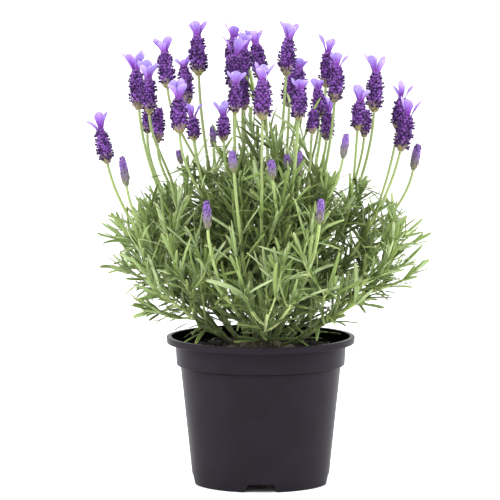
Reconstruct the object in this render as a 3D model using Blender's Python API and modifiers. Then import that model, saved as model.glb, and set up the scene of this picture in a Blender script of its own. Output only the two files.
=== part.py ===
"""Spanish lavender in flower, grown in a round nursery pot.

The plant is built from its own pieces: a pot, the soil in it, the woody crown, forked flowering
shoots with one head at the end of each stalk, and leafy shoots between and around them.
Metres, +Z up. The origin is on the pot's axis, on the surface that the pot stands on.
"""

import math
import random
from collections import namedtuple

import bmesh
import bpy
import numpy as np
from mathutils import Vector

MM = 0.001
UP = Vector((0, 0, 1))

# The gap between pieces that touch, and between things that grow past each other.
TOUCH_GAP = 0.3 * MM
GROWING_GAP = 0.7 * MM

# The pot: a thin moulded wall with a turned-down lip, a collar, a tapering body and a foot ring.
POT_HEIGHT = 117.5 * MM
RIM_RADIUS = 75.0 * MM
LIP_HEIGHT = 5.2 * MM
LIP_WIDTH = 4.7 * MM
LIP_OVERHANG = 7.0 * MM
COLLAR_HEIGHT = 17.3 * MM
COLLAR_TAPER = 1.1 * MM
COLLAR_STEP = 3.0 * MM
BODY_TAPER = 9.0 * MM
WALL = 1.6 * MM
FOOT_HEIGHT = 9.0 * MM
FOOT_INSET = 0.8 * MM
EDGE_ROUND = 0.9 * MM
POT_SEGMENTS = 40

# The foot ring's drainage notches, and the holes in the floor.
NOTCH_HEIGHT = 6.4 * MM
NOTCH_TOP_WIDTH = 19.0 * MM
NOTCH_FOOT_WIDTH = 27.0 * MM
DRAIN_RADIUS = 4.0 * MM
DRAIN_CIRCLE = 32.0 * MM
DRAIN_COUNT = 8

# The soil, and the crown that sits in it.
SOIL_DROP = 10.0 * MM
SOIL_CROWNING = 1.5 * MM
CROWN_RADIUS = 30.0 * MM
CROWN_RISE = 7.0 * MM
CROWN_DEPTH = 12.0 * MM
CROWN_SEGMENTS = 20

# Stalks and stems are four-sided.
STEM_HALF_WIDTH = 1.15 * MM
STALK_HALF_WIDTH = 0.8 * MM
JOINT_HEIGHT = 2.4 * MM
JOINT_SPACING = 15.0 * MM
BARE_STALK = 66.0 * MM
FORK_BELOW_TIP = 84.0 * MM
WIDEST_REACH = 127.0 * MM
FLOWERING_ROOT_SHARE = 0.8
LEAFY_ROOT_SHARE = 0.93
LEAFY_TIP = 9.0 * MM
START_SPREAD = 1.35
DEPTH_LEAN = 1.1
FORK_OUT = 0.75
FORK_UP = 0.65
LEAFY_RISE = 0.5
DIRECTION_STEP = 0.002

# Narrow leaves, four at each joint, in a dome over the pot. Angles are in degrees.
LEAF_LENGTH = 24.0 * MM
LEAF_HALF_WIDTH = 2.0 * MM
LEAF_HALF_THICKNESS = 0.6 * MM
LEAF_SIZES = (0.8, 1.15)
SHORT_LEAF = 0.72
LEAF_PITCHES = (34, 72)
LEAF_TURN = 25
LEAF_DROOP = 0.25
LEAF_TRIES = 14
DOME_HEIGHT = 154.0 * MM
DOME_FALL = 5.2
RIM_CLEARANCE = 2.6 * MM

# Where a blade is tried for room, along its two halves, and its share of the full width there.
NEAR_HALF = (0.1, 0.35, 0.6, 0.8)
FAR_HALF = (0.0, 0.35, 0.7, 1.0)
BLADE_SHARES = (0.2, 0.45, 0.7, 0.85, 1.0, 0.75, 0.4, 0.1)

# The rods that stand for leaves and stems when others are tried against them.
NEAR_ROD = 0.8
FAR_ROD = 0.7
STEM_ROD = 1.5
STEM_RODS = 12

# A head: a plump spike of six sides, with a tuft of long bracts, the ears, on top. The shapes
# give how far along each section is and how wide it is; an ear's also say how far it splays.
SPIKE_SIDES = 6
EAR_HALF_WIDTH = 2.5 * MM
EAR_HALF_THICKNESS = 0.5 * MM
EAR_SPLAY = 0.36
EAR_TILT = 0.3
BUD_SHAPE = ((0.12, 0.75), (0.5, 1.0), (0.85, 0.75), (1.0, 0.3))
SPIKE_SHAPE = ((0.12, 0.72), (0.45, 1.0), (0.82, 0.9), (1.0, 0.5))
EAR_SHAPE = ((0.35, 1.1, 0.75), (0.75, 1.0, 1.0), (1.0, 0.8, 0.5))

# Flowering shoots, in millimetres: what ends each stalk, where the stalk's end is across, in depth
# and above the soil, how far it leans across for each millimetre up, then the length and half
# width of the spike or bud and the length of the ears. The first stalk of a shoot is its main one.
HEAD = "head"
BUD = "bud"
FLOWERING_SHOOTS = {
    "01": ((HEAD, -121, -8, 148, -0.21, 27, 5.7, 13), (BUD, -105, -40, 133, -0.16, 22, 4.0, 0)),
    "02": (
        (HEAD, -97, 30, 188, -0.08, 31, 7.0, 14),
        (HEAD, -88, -2, 187, -0.03, 27, 6.0, 14),
        (HEAD, -91, 52, 167, 0.04, 21, 4.5, 0),
        (HEAD, -82, 18, 162, 0.04, 27, 4.1, 0),
    ),
    "03": (
        (HEAD, -49, 2, 217, -0.04, 31, 7.0, 12),
        (HEAD, -73, -28, 209, -0.08, 28, 6.3, 12),
        (HEAD, -63, -58, 176, -0.03, 27, 6.8, 13),
        (HEAD, -52, -30, 168, -0.08, 17, 5.0, 12),
    ),
    "04": (
        (HEAD, -58, 56, 191, -0.12, 30, 5.5, 9),
        (BUD, -63, 22, 145, -0.26, 10, 2.5, 0),
        (BUD, -38, 66, 155, -0.05, 15, 3.0, 0),
    ),
    "05": (
        (HEAD, -21, 4, 205, 0.03, 27, 7.0, 15),
        (HEAD, -20, -38, 190, 0.01, 22, 5.3, 11),
        (HEAD, -13, 20, 188, -0.03, 24, 3.8, 0),
        (HEAD, -29, -22, 167, -0.02, 19, 4.8, 11),
    ),
    "06": ((BUD, -21, -72, 147, -0.09, 15, 4.0, 0), (BUD, -41, -88, 104, -0.05, 21, 3.8, 0)),
    "07": ((HEAD, 1, 88, 208, -0.16, 29, 6.3, 14), (HEAD, -23, 80, 209, 0.03, 33, 6.2, 12)),
    "08": ((HEAD, -14, 46, 208, 0.04, 27, 6.2, 12),),
    "09": ((HEAD, 1, -76, 188, 0.01, 30, 7.8, 14), (BUD, 9, -70, 141, -0.08, 14, 4.0, 0)),
    "10": ((HEAD, 20, -2, 217, 0.07, 29, 6.8, 13), (BUD, 21, -34, 145, -0.07, 11, 2.8, 0)),
    "11": ((HEAD, 23, 70, 187, 0.03, 24, 6.0, 14), (HEAD, 30, 36, 193, 0.03, 27, 6.0, 10)),
    "12": ((HEAD, 29, -54, 186, 0.05, 24, 6.2, 9), (BUD, 30, -40, 141, 0.02, 18, 3.0, 0)),
    "13": (
        (HEAD, 58, -14, 197, 0.07, 28, 6.3, 13),
        (HEAD, 46, 6, 183, -0.03, 22, 5.5, 9),
        (HEAD, 40, -28, 173, 0.08, 18, 4.2, 0),
        (BUD, 64, -42, 155, 0.15, 18, 3.6, 0),
    ),
    "14": ((HEAD, 53, 84, 202, 0.07, 28, 6.0, 15), (HEAD, 53, 58, 161, 0.06, 22, 5.2, 15)),
    "15": (
        (HEAD, 90, 16, 187, 0.05, 31, 6.8, 14),
        (HEAD, 76, -20, 175, 0.08, 23, 6.0, 12),
        (HEAD, 83, 42, 165, 0.08, 21, 4.5, 0),
    ),
    "16": (
        (HEAD, 110, -10, 158, 0.22, 28, 7.0, 14),
        (HEAD, 109, 26, 172, 0.14, 25, 6.0, 13),
        (BUD, 121, 10, 141, 0.19, 20, 4.3, 0),
    ),
    "17": ((BUD, 45, -86, 108, 0.08, 18, 3.6, 0),),
}

# Leafy shoots: for each twig, its direction in degrees round the pot from +X, and how far out
# and how high above the soil it ends, in millimetres. The first twig of a shoot is its main one.
LEAFY_SHOOTS = {
    "left": ((172, 106, 84), (186, 104, 62), (160, 100, 60)),
    "front_left": ((216, 98, 50), (228, 96, 66), (205, 92, 34)),
    "front": ((273, 93, 38), (285, 90, 46), (262, 90, 54)),
    "front_right": ((318, 100, 44), (304, 94, 56), (331, 98, 62)),
    "right": ((1, 120, 84), (349, 116, 58), (13, 114, 62)),
    "back_right": ((45, 102, 66), (58, 94, 46), (32, 100, 84)),
    "back": ((92, 90, 78), (78, 90, 56), (106, 88, 52)),
    "back_left": ((137, 100, 72), (124, 94, 50), (150, 96, 84)),
}

# Colour, roughness and metallic value of each material.
FINISHES = {
    "pot_plastic": ((0.028, 0.026, 0.033), 0.42, 0.0),
    "soil": ((0.022, 0.016, 0.012), 0.95, 0.0),
    "bark": ((0.16, 0.11, 0.07), 0.85, 0.0),
    "foliage": ((0.16, 0.24, 0.10), 0.6, 0.0),
    "flower": ((0.13, 0.05, 0.22), 0.6, 0.0),
}

SOIL_TOP = POT_HEIGHT - SOIL_DROP

# A four-sided section: its middle, its two directions, and half its size along each.
# Seen from the end that grows, "along" is a quarter turn counter-clockwise from "across".
Section = namedtuple("Section", "centre across along half_across half_along")


# ---- Shared steps -------------------------------------------------------------------------------


def clear_scene():
    for thing in list(bpy.data.objects):
        bpy.data.objects.remove(thing)


def new_collection(name):
    collection = bpy.data.collections.new(name)
    bpy.context.scene.collection.children.link(collection)
    return collection


def new_material(name):
    colour, roughness, metallic = FINISHES[name]
    material = bpy.data.materials.new(name)
    material.use_nodes = True
    shader = material.node_tree.nodes["Principled BSDF"]
    shader.inputs["Base Color"].default_value = (*colour, 1.0)
    shader.inputs["Roughness"].default_value = roughness
    shader.inputs["Metallic"].default_value = metallic
    return material


def new_object(name, bm, collection, material=None):
    """An object that holds a finished bmesh."""
    mesh = bpy.data.meshes.new(name)
    bm.to_mesh(mesh)
    bm.free()
    if material:
        mesh.materials.append(material)
    made = bpy.data.objects.new(name, mesh)
    collection.objects.link(made)
    return made


def turned_object(name, profile, segments, collection, material):
    """A profile of (radius, height) points, from axis to axis, turned round the Z axis."""
    bm = bmesh.new()
    verts = [bm.verts.new((radius, 0, height)) for radius, height in profile]
    for first, second in zip(verts, verts[1:]):
        bm.edges.new((first, second))
    turned = new_object(name, bm, collection, material)
    screw = turned.modifiers.new("Turn", "SCREW")
    screw.steps = segments
    screw.render_steps = segments
    screw.use_merge_vertices = True
    screw.merge_threshold = 0.01 * MM
    screw.use_smooth_shade = True
    return turned


def cut(target, cutter):
    difference = target.modifiers.new("Cut", "BOOLEAN")
    difference.operation = "DIFFERENCE"
    difference.solver = "EXACT"
    difference.object = cutter
    cutter.hide_render = True
    cutter.display_type = "WIRE"


# ---- The pot ------------------------------------------------------------------------------------


def inner_wall():
    """The pot's inside, from the floor's corner up to where the lip flares, as (radius, height)."""
    collar = RIM_RADIUS - LIP_OVERHANG - WALL
    body = collar - COLLAR_TAPER - COLLAR_STEP
    step = POT_HEIGHT - LIP_HEIGHT - COLLAR_HEIGHT
    return [
        (body - BODY_TAPER, FOOT_HEIGHT + WALL),
        (body, step - WALL),
        (collar - COLLAR_TAPER, step + COLLAR_STEP - WALL),
        (collar, POT_HEIGHT - LIP_HEIGHT + EDGE_ROUND),
    ]


def lip_profile():
    """The lip, from its inner edge over the top and down to its undercut."""
    inner = RIM_RADIUS - LIP_WIDTH
    outer = RIM_RADIUS
    bottom = POT_HEIGHT - LIP_HEIGHT
    return [
        (inner, POT_HEIGHT - EDGE_ROUND / 2),
        (inner + EDGE_ROUND, POT_HEIGHT),
        (outer - EDGE_ROUND, POT_HEIGHT),
        (outer, POT_HEIGHT - EDGE_ROUND),
        (outer - EDGE_ROUND / 2, bottom),
        (RIM_RADIUS - LIP_OVERHANG, bottom),
    ]


def outer_wall():
    """The pot's outside below the lip, from the collar's foot down to the foot ring."""
    collar = RIM_RADIUS - LIP_OVERHANG - COLLAR_TAPER
    body = collar - COLLAR_STEP
    step = POT_HEIGHT - LIP_HEIGHT - COLLAR_HEIGHT
    return [
        (collar, step + EDGE_ROUND),
        (collar - EDGE_ROUND, step),
        (body, step),
        (body - BODY_TAPER, FOOT_HEIGHT),
        (body - BODY_TAPER - FOOT_INSET, EDGE_ROUND),
        (body - BODY_TAPER - FOOT_INSET - EDGE_ROUND / 2, 0),
    ]


def foot_profile():
    """The foot ring's inside, from the ground up and in under the floor to the axis."""
    outer = outer_wall()[-1][0]
    return [(outer - 2 * WALL, 0), (outer - 2 * WALL, FOOT_HEIGHT), (0, FOOT_HEIGHT)]


def notch_cutter(name, width_axis, collection):
    """A bar right across the foot that is wider at the ground; it cuts two opposite notches."""
    bm = bmesh.new()
    bmesh.ops.create_cube(bm, size=2)
    long_axis = 1 - width_axis
    for vert in bm.verts:
        width = NOTCH_TOP_WIDTH if vert.co.z > 0 else NOTCH_FOOT_WIDTH
        place = Vector((0, 0, NOTCH_HEIGHT if vert.co.z > 0 else -NOTCH_HEIGHT))
        place[width_axis] = math.copysign(width / 2, vert.co[width_axis])
        place[long_axis] = math.copysign(RIM_RADIUS, vert.co[long_axis])
        vert.co = place
    return new_object(name, bm, collection)


def drain_cutter(name, angle, collection):
    bm = bmesh.new()
    bmesh.ops.create_cone(
        bm, cap_ends=True, segments=12, radius1=DRAIN_RADIUS, radius2=DRAIN_RADIUS, depth=4 * WALL
    )
    made = new_object(name, bm, collection)
    made.location = (DRAIN_CIRCLE * math.cos(angle), DRAIN_CIRCLE * math.sin(angle), FOOT_HEIGHT)
    return made


def build_pot(parts, cutters, material):
    floor_top = [(0, FOOT_HEIGHT + WALL)]
    profile = floor_top + inner_wall() + lip_profile() + outer_wall() + foot_profile()
    pot = turned_object("pot", profile, POT_SEGMENTS, parts, material)
    for axis in (0, 1):
        cut(pot, notch_cutter(f"notch_cutter_{axis}", axis, cutters))
    for index in range(DRAIN_COUNT):
        angle = 2 * math.pi * (index + 0.5) / DRAIN_COUNT
        cut(pot, drain_cutter(f"drain_cutter_{index}", angle, cutters))


# ---- The soil and the crown ---------------------------------------------------------------------


def wall_radius_at(height):
    """The pot's inner radius at a height between the floor and the lip."""
    radii, heights = zip(*inner_wall())
    return float(np.interp(height, heights, radii))


def build_soil(parts, material):
    """The root ball fills the pot, and has a round pit for the crown."""
    pit_radius = CROWN_RADIUS + TOUCH_GAP
    pit_floor = SOIL_TOP - CROWN_DEPTH
    edge = wall_radius_at(SOIL_TOP) - TOUCH_GAP
    below = [(r - TOUCH_GAP, z + TOUCH_GAP) for r, z in reversed(inner_wall()) if z < SOIL_TOP]
    profile = [
        (0, pit_floor),
        (pit_radius, pit_floor),
        (pit_radius, SOIL_TOP),
        ((pit_radius + edge) / 2, SOIL_TOP + SOIL_CROWNING),
        (edge, SOIL_TOP),
        *below,
        (0, FOOT_HEIGHT + WALL + TOUCH_GAP),
    ]
    turned_object("soil", profile, POT_SEGMENTS, parts, material)


def crown_height(radius):
    """How high the crown's dome stands at a distance from its axis."""
    share = min(radius / CROWN_RADIUS, 1.0)
    return SOIL_TOP + CROWN_RISE * (1 - share**2)


def build_crown(parts, material):
    """The woody base of the plant: a low dome on a plug that goes down into the soil."""
    radii = [CROWN_RADIUS * share / 5 for share in range(5)]
    dome = [(radius, crown_height(radius)) for radius in radii]
    floor = SOIL_TOP - CROWN_DEPTH + TOUCH_GAP
    profile = dome + [(CROWN_RADIUS, SOIL_TOP), (CROWN_RADIUS, floor), (0, floor)]
    turned_object("crown", profile, CROWN_SEGMENTS, parts, material)


# ---- Growing four-sided shapes ------------------------------------------------------------------


def extend(bm, face, now, then):
    """Pull a four-sided face out from its present section to the next one."""
    moved = bmesh.ops.extrude_discrete_faces(bm, faces=[face])["faces"][0]
    for vert in moved.verts:
        offset = vert.co - now.centre
        across = math.copysign(then.half_across, offset.dot(now.across))
        along = math.copysign(then.half_along, offset.dot(now.along))
        vert.co = then.centre + then.across * across + then.along * along
    return moved


def first_length(bm, now, then):
    """A box between two sections, and the face at its growing end."""
    verts = bmesh.ops.create_cube(bm, size=2)["verts"]
    top = {vert for vert in verts if vert.co.z > 0}
    for vert in verts:
        section = then if vert in top else now
        across = math.copysign(section.half_across, vert.co.x)
        along = math.copysign(section.half_along, vert.co.y)
        vert.co = section.centre + section.across * across + section.along * along
    return next(face for face in bm.faces if set(face.verts) == top)


def close_to_point(bm, face, place):
    bmesh.ops.pointmerge(bm, verts=list(face.verts), merge_co=place)


def side_faces(face):
    """The four faces beside a face that has just been pulled out."""
    return [other for edge in face.edges for other in edge.link_faces if other is not face]


# ---- Space that is taken ------------------------------------------------------------------------


class Space:
    """The rods that stems, spikes and leaves take up, for keeping new leaves clear of them."""

    def __init__(self):
        self.starts = []
        self.ends = []
        self.radii = []
        self.owners = []

    def take(self, start, end, radius, owner):
        self.starts.append(tuple(start))
        self.ends.append(tuple(end))
        self.radii.append(radius)
        self.owners.append(owner)

    def is_free(self, points, radii, owner):
        """Whether balls at the points clear all the rods but the owner's own."""
        starts = np.array(self.starts)
        ways = np.array(self.ends) - starts
        lengths = np.maximum((ways**2).sum(axis=1), 1e-12)
        others = np.array(self.owners) != owner
        for point, radius in zip(points, radii):
            offset = np.array(point) - starts
            share = np.clip((offset * ways).sum(axis=1) / lengths, 0, 1)
            gaps = np.linalg.norm(offset - ways * share[:, None], axis=1)
            gaps -= np.array(self.radii) + radius + GROWING_GAP
            if (gaps[others] < 0).any():
                return False
        return all(clears_pot(point) for point in points)


def clears_pot(point):
    """Leaves stay over the pot's rim, or over the crown, or outside the pot."""
    radius = math.hypot(point.x, point.y)
    if radius < CROWN_RADIUS:
        return point.z > crown_height(radius) + 2 * LEAF_HALF_WIDTH
    if radius < RIM_RADIUS + RIM_CLEARANCE:
        return point.z > POT_HEIGHT + RIM_CLEARANCE
    return point.z > SOIL_TOP


# ---- Leaves -------------------------------------------------------------------------------------


class Leaf:
    """A narrow blade that leaves a stem's side and bends a little under its weight."""

    def __init__(self, root, out, stem, length, pitch, turn):
        side = out.cross(stem).normalized()
        self.root = root
        self.length = length
        self.aim = (stem * math.cos(pitch) + out * math.sin(pitch)).normalized()
        self.aim = (self.aim + side * math.sin(turn)).normalized()
        self.across = stem.cross(self.aim).normalized()
        bent = (self.aim - UP * LEAF_DROOP).normalized()
        self.middle = root + self.aim * length / 2
        self.tip = self.middle + bent * length / 2

    def points(self):
        """Places along the blade that have to be free, with the blade's radius at each."""
        before = [self.root.lerp(self.middle, share) for share in NEAR_HALF]
        after = [self.middle.lerp(self.tip, share) for share in FAR_HALF]
        return before + after, [LEAF_HALF_WIDTH * share for share in BLADE_SHARES]

    def take(self, space, owner):
        quarter = self.root.lerp(self.middle, 0.5)
        space.take(quarter, self.middle, LEAF_HALF_WIDTH * NEAR_ROD, owner)
        space.take(self.middle, self.tip, LEAF_HALF_WIDTH * FAR_ROD, owner)

    def grow(self, bm, face, now):
        along = self.aim.cross(self.across)
        widest = Section(self.middle, self.across, along, LEAF_HALF_WIDTH, LEAF_HALF_THICKNESS)
        close_to_point(bm, extend(bm, face, now, widest), self.tip)


# ---- Twigs: the stems, stalks and leafy twigs ---------------------------------------------------


class Joint:
    """A short length of a twig with four sides, each of which may carry a leaf or a twig."""

    def __init__(self, twig, share):
        self.share = share
        self.lower = twig.section(share - twig.share_of(JOINT_HEIGHT / 2))
        self.upper = twig.section(share + twig.share_of(JOINT_HEIGHT / 2))
        self.centre = (self.lower.centre + self.upper.centre) / 2
        self.stem = (self.upper.centre - self.lower.centre).normalized()
        across = self.upper.across
        along = self.upper.along
        self.outs = [across, along, -across, -along]
        self.half_width = self.upper.half_across
        self.children = [None] * 4

    def side_centre(self, index):
        return self.centre + self.outs[index] * self.half_width

    def side_section(self, index):
        """The side's own section, which grows outwards."""
        out = self.outs[index]
        across = self.stem.cross(out).normalized()
        return Section(self.side_centre(index), across, self.stem, 1, 1)

    def free_side_towards(self, place):
        """The free side that faces a place the most."""
        way = place - self.centre
        free = [index for index in range(4) if self.children[index] is None]
        return max(free, key=lambda index: way.dot(self.outs[index]))


class Twig:
    """A curved stem, stalk or leafy twig.

    Its path is a cubic curve between two ends with a given direction and pull at each. Joints
    stand along it, and it ends in a bud, a point, or a flat cut under a flower head.
    """

    def __init__(self, start, end, leave, arrive, guide, half_widths, ending):
        self.start = start
        self.end = end
        self.leave = leave
        self.arrive = arrive
        self.guide = guide
        self.half_widths = half_widths
        self.ending = ending
        self.joints = []

    def point(self, share):
        s, r = share, 1 - share
        return (
            self.start * (r * r * (1 + 2 * s))
            + self.end * (s * s * (1 + 2 * r))
            + self.leave * (s * r * r)
            - self.arrive * (s * s * r)
        )

    def direction(self, share):
        before = self.point(max(share - DIRECTION_STEP, 0))
        after = self.point(min(share + DIRECTION_STEP, 1))
        return (after - before).normalized()

    def share_of(self, length):
        """About what share of the twig a length is."""
        return length / (self.end - self.start).length

    def section(self, share):
        stem = self.direction(share)
        across = (self.guide - stem * self.guide.dot(stem)).normalized()
        first, last = self.half_widths
        half = first + (last - first) * share
        return Section(self.point(share), across, stem.cross(across), half, half)

    def add_joints(self, first, last):
        """Joints at even steps between two distances from the start."""
        if last > first:
            steps = max(round((last - first) / JOINT_SPACING), 1)
            for place in np.linspace(first, last, steps + 1):
                self.joints.append(Joint(self, self.share_of(float(place))))

    def take(self, space):
        places = [self.point(share) for share in np.linspace(0, 1, STEM_RODS + 1)]
        for low, high in zip(places, places[1:]):
            space.take(low, high, self.half_widths[0] * STEM_ROD, id(self))

    def grow(self, bm, face, now):
        """Build the twig on a face, with everything that its joints carry."""
        for joint in self.joints:
            face = extend(bm, face, now, joint.lower)
            face = extend(bm, face, joint.lower, joint.upper)
            now = joint.upper
            grow_sides(bm, face, joint)
        last_joint = self.joints[-1].share if self.joints else 0
        for share in np.linspace(last_joint, 1, 4)[1:]:
            then = self.section(float(share))
            face = extend(bm, face, now, then)
            now = then
        self.ending.grow(bm, face, now)


def grow_sides(bm, face, joint):
    """Build what each side of a joint carries."""
    for side in side_faces(face):
        offset = side.calc_center_median() - joint.centre
        index = max(range(4), key=lambda i: offset.dot(joint.outs[i]))
        child = joint.children[index]
        if child:
            child.grow(bm, side, joint.side_section(index))


class CutEnd:
    """A flat end, under a head that is a piece of its own."""

    def grow(self, bm, face, now):
        return face


class PointedEnd:
    """The youngest leaves at the tip of a leafy twig, still folded together."""

    def grow(self, bm, face, now):
        ahead = now.across.cross(now.along)
        close_to_point(bm, face, now.centre + ahead * LEAFY_TIP)


class BudEnd:
    """A young flower spike that is still closed, grown on its stalk."""

    def __init__(self, length, half_width):
        self.length = length
        self.half_width = half_width

    def grow(self, bm, face, now):
        ahead = now.across.cross(now.along)
        for share, fullness in BUD_SHAPE:
            half = self.half_width * fullness
            centre = now.centre + ahead * self.length * share
            face = extend(bm, face, now, Section(centre, now.across, now.along, half, half))


# ---- Laying out the shoots ----------------------------------------------------------------------


class Shoot:
    """One shoot of the plant: a main twig from the crown and the twigs that fork off it."""

    def __init__(self, name, main):
        self.name = name
        self.twigs = [main]

    def main(self):
        return self.twigs[0]


def stalk_end(spec):
    """Where a stalk ends, and the direction that it and its head point there."""
    _, x, y, height, lean, _, _, _ = spec
    place = Vector((x * MM, y * MM, SOIL_TOP + height * MM))
    axis = Vector((lean, y * MM * DEPTH_LEAN, 1)).normalized()
    return place, axis


def stalk_ending(spec):
    kind, _, _, _, _, length, half_width, _ = spec
    return BudEnd(length * MM, half_width * MM) if kind == BUD else CutEnd()


def root_of(end, share):
    """Where a shoot stands on the crown: the widest one stands at a share of its radius."""
    inward = share * CROWN_RADIUS / WIDEST_REACH
    root = Vector((end.x * inward, end.y * inward, 0))
    inner_corner = max(math.hypot(root.x, root.y) - 2 * STEM_HALF_WIDTH, 0)
    root.z = crown_height(inner_corner) + TOUCH_GAP
    return root


def beside(way):
    """The level direction square to a way."""
    level = UP.cross(way)
    return level.normalized() if level.length > 1e-4 else Vector((1, 0, 0))


def main_twig(end, arrive_axis, ending, root_share):
    """A twig that rises from the crown, spreads outwards and then bends to its end's direction."""
    root = root_of(end, root_share)
    rise = end - root
    leave = Vector((rise.x * START_SPREAD, rise.y * START_SPREAD, rise.z))
    arrive = arrive_axis * (rise.z / arrive_axis.z)
    widths = (STEM_HALF_WIDTH, STALK_HALF_WIDTH)
    return Twig(root, end, leave, arrive, beside(rise), widths, ending)


def fork(twig, joint, end, arrive_axis, ending):
    """A twig that leaves a joint's side and bends up to its own end."""
    index = joint.free_side_towards(end)
    start = joint.side_centre(index)
    reach = (end - start).length
    leave = (joint.outs[index] * FORK_OUT + joint.stem * FORK_UP) * reach
    guide = joint.side_section(index).across
    widths = (STALK_HALF_WIDTH, STALK_HALF_WIDTH)
    child = Twig(start, end, leave, arrive_axis * reach, guide, widths, ending)
    joint.children[index] = child
    return child


def joint_below(twig, height):
    """The joint of a twig that is nearest to a height and still has a free side to fork from."""
    free = [joint for joint in twig.joints if None in joint.children]
    return min(free, key=lambda joint: abs(joint.centre.z - height))


def flowering_shoot(name, stalks):
    end, axis = stalk_end(stalks[0])
    main = main_twig(end - axis * TOUCH_GAP, axis, stalk_ending(stalks[0]), FLOWERING_ROOT_SHARE)
    length = (main.end - main.start).length
    main.add_joints(JOINT_SPACING, length - BARE_STALK)
    shoot = Shoot(f"flowering_shoot_{name}", main)
    for spec in stalks[1:]:
        end, axis = stalk_end(spec)
        joint = joint_below(main, end.z - FORK_BELOW_TIP)
        twig = fork(main, joint, end - axis * TOUCH_GAP, axis, stalk_ending(spec))
        twig.add_joints(JOINT_SPACING, (twig.end - twig.start).length - BARE_STALK)
        shoot.twigs.append(twig)
    return shoot


def leafy_end(spec):
    degrees, reach, height = spec
    angle = math.radians(degrees)
    out = Vector((math.cos(angle), math.sin(angle), 0))
    place = out * reach * MM
    place.z = SOIL_TOP + height * MM
    return place, (out + UP * LEAFY_RISE).normalized()


def leafy_shoot(name, specs):
    end, axis = leafy_end(specs[0])
    main = main_twig(end, axis, PointedEnd(), LEAFY_ROOT_SHARE)
    main.arrive = axis * (end - main.start).length
    length = (main.end - main.start).length
    main.add_joints(JOINT_SPACING, length - JOINT_SPACING / 2)
    shoot = Shoot(f"leafy_shoot_{name}", main)
    for number, spec in enumerate(specs[1:]):
        end, axis = leafy_end(spec)
        twig = fork(main, main.joints[2 + number], end, axis, PointedEnd())
        twig.add_joints(JOINT_SPACING, (twig.end - twig.start).length - JOINT_SPACING / 2)
        shoot.twigs.append(twig)
    return shoot


def in_dome(place):
    """Whether a leaf's root is inside the dome of foliage."""
    height = DOME_HEIGHT - DOME_FALL * (place.x**2 + place.y**2)
    return place.z < SOIL_TOP + height


# ---- Leaves on the shoots -----------------------------------------------------------------------


def try_leaf(joint, index, number, chance):
    """A leaf for one side of a joint: each pair of longer leaves stands across the last one."""
    out = joint.outs[index]
    longer = (number + index) % 2 == 0
    size = LEAF_LENGTH * (1 if longer else SHORT_LEAF) * chance.uniform(*LEAF_SIZES)
    pitch = math.radians(chance.uniform(*LEAF_PITCHES))
    turn = math.radians(chance.uniform(-LEAF_TURN, LEAF_TURN))
    return Leaf(joint.side_centre(index), out, joint.stem, size, pitch, turn)


def dress_joint(joint, number, space, owner, chance):
    for index in range(4):
        if joint.children[index]:
            continue
        for _ in range(LEAF_TRIES):
            leaf = try_leaf(joint, index, number, chance)
            if space.is_free(*leaf.points(), owner):
                leaf.take(space, None)
                joint.children[index] = leaf
                break


def dress_shoots(shoots, space):
    """Put leaves on every joint inside the dome, wherever there is room for them."""
    for shoot in shoots:
        for place, twig in enumerate(shoot.twigs):
            chance = random.Random(f"{shoot.name} {place}")
            for number, joint in enumerate(twig.joints):
                if in_dome(joint.centre):
                    dress_joint(joint, number, space, id(twig), chance)


def build_shoot(shoot, parts, material):
    bm = bmesh.new()
    main = shoot.main()
    across = main.section(0).across
    now = Section(main.start, across, UP.cross(across), STEM_HALF_WIDTH, STEM_HALF_WIDTH)
    then = main.section(main.share_of(JOINT_SPACING / 3))
    face = first_length(bm, now, then)
    main.grow(bm, face, then)
    new_object(shoot.name, bm, parts, material)


# ---- Flower heads -------------------------------------------------------------------------------


def take_head(space, spec):
    """Keep leaves out of a spike or bud and its ears."""
    place, axis = stalk_end(spec)
    _, _, _, _, _, length, half_width, ear = spec
    space.take(place, place + axis * (length + ear) * MM, half_width * MM, None)


def ring_out(bm, face, now, then, scale):
    """Pull a many-sided end face along to a new middle, and widen or narrow it."""
    moved = bmesh.ops.extrude_discrete_faces(bm, faces=[face])["faces"][0]
    for vert in moved.verts:
        vert.co = then + (vert.co - now) * scale
    return moved


def grow_ear(bm, side, middle, axis, length):
    """One long bract: it leaves the top of the spike, splays outwards and ends blunt."""
    root = side.calc_center_median()
    out = root - middle
    out = (out - axis * out.dot(axis)).normalized()
    across = axis.cross(out).normalized()
    now = Section(root, across, axis, 1, 1)
    for share, splay, fullness in EAR_SHAPE:
        centre = root + axis * length * share + out * length * share * splay * EAR_SPLAY
        along = axis * EAR_TILT - out
        along = (along - across * along.dot(across)).normalized()
        then = Section(centre, across, along, EAR_HALF_WIDTH * fullness, EAR_HALF_THICKNESS)
        side = extend(bm, side, now, then)
        now = then


def build_head(name, spec, parts, material):
    place, axis = stalk_end(spec)
    _, _, _, _, _, length, half_width, ear = spec
    length *= MM
    half_width *= MM
    bm = bmesh.new()
    share, fullness = SPIKE_SHAPE[0]
    made = bmesh.ops.create_cone(
        bm,
        cap_ends=True,
        segments=SPIKE_SIDES,
        radius1=half_width * SPIKE_SHAPE[-1][1],
        radius2=half_width * fullness,
        depth=length * share,
    )
    turn = UP.rotation_difference(axis).to_matrix()
    for vert in made["verts"]:
        vert.co = place + turn @ (vert.co + UP * length * share / 2)
    face = max((f for f in bm.faces if len(f.verts) == SPIKE_SIDES), key=lambda f: top_of(f, axis))
    now = place + axis * length * share
    for share, next_fullness in SPIKE_SHAPE[1:]:
        then = place + axis * length * share
        face = ring_out(bm, face, now, then, next_fullness / fullness)
        now = then
        fullness = next_fullness
    if ear:
        for side in side_faces(face)[::2]:
            grow_ear(bm, side, now, axis, ear * MM)
    new_object(name, bm, parts, material)


def top_of(face, axis):
    return face.calc_center_median().dot(axis)


# ---- The whole plant ----------------------------------------------------------------------------


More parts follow.
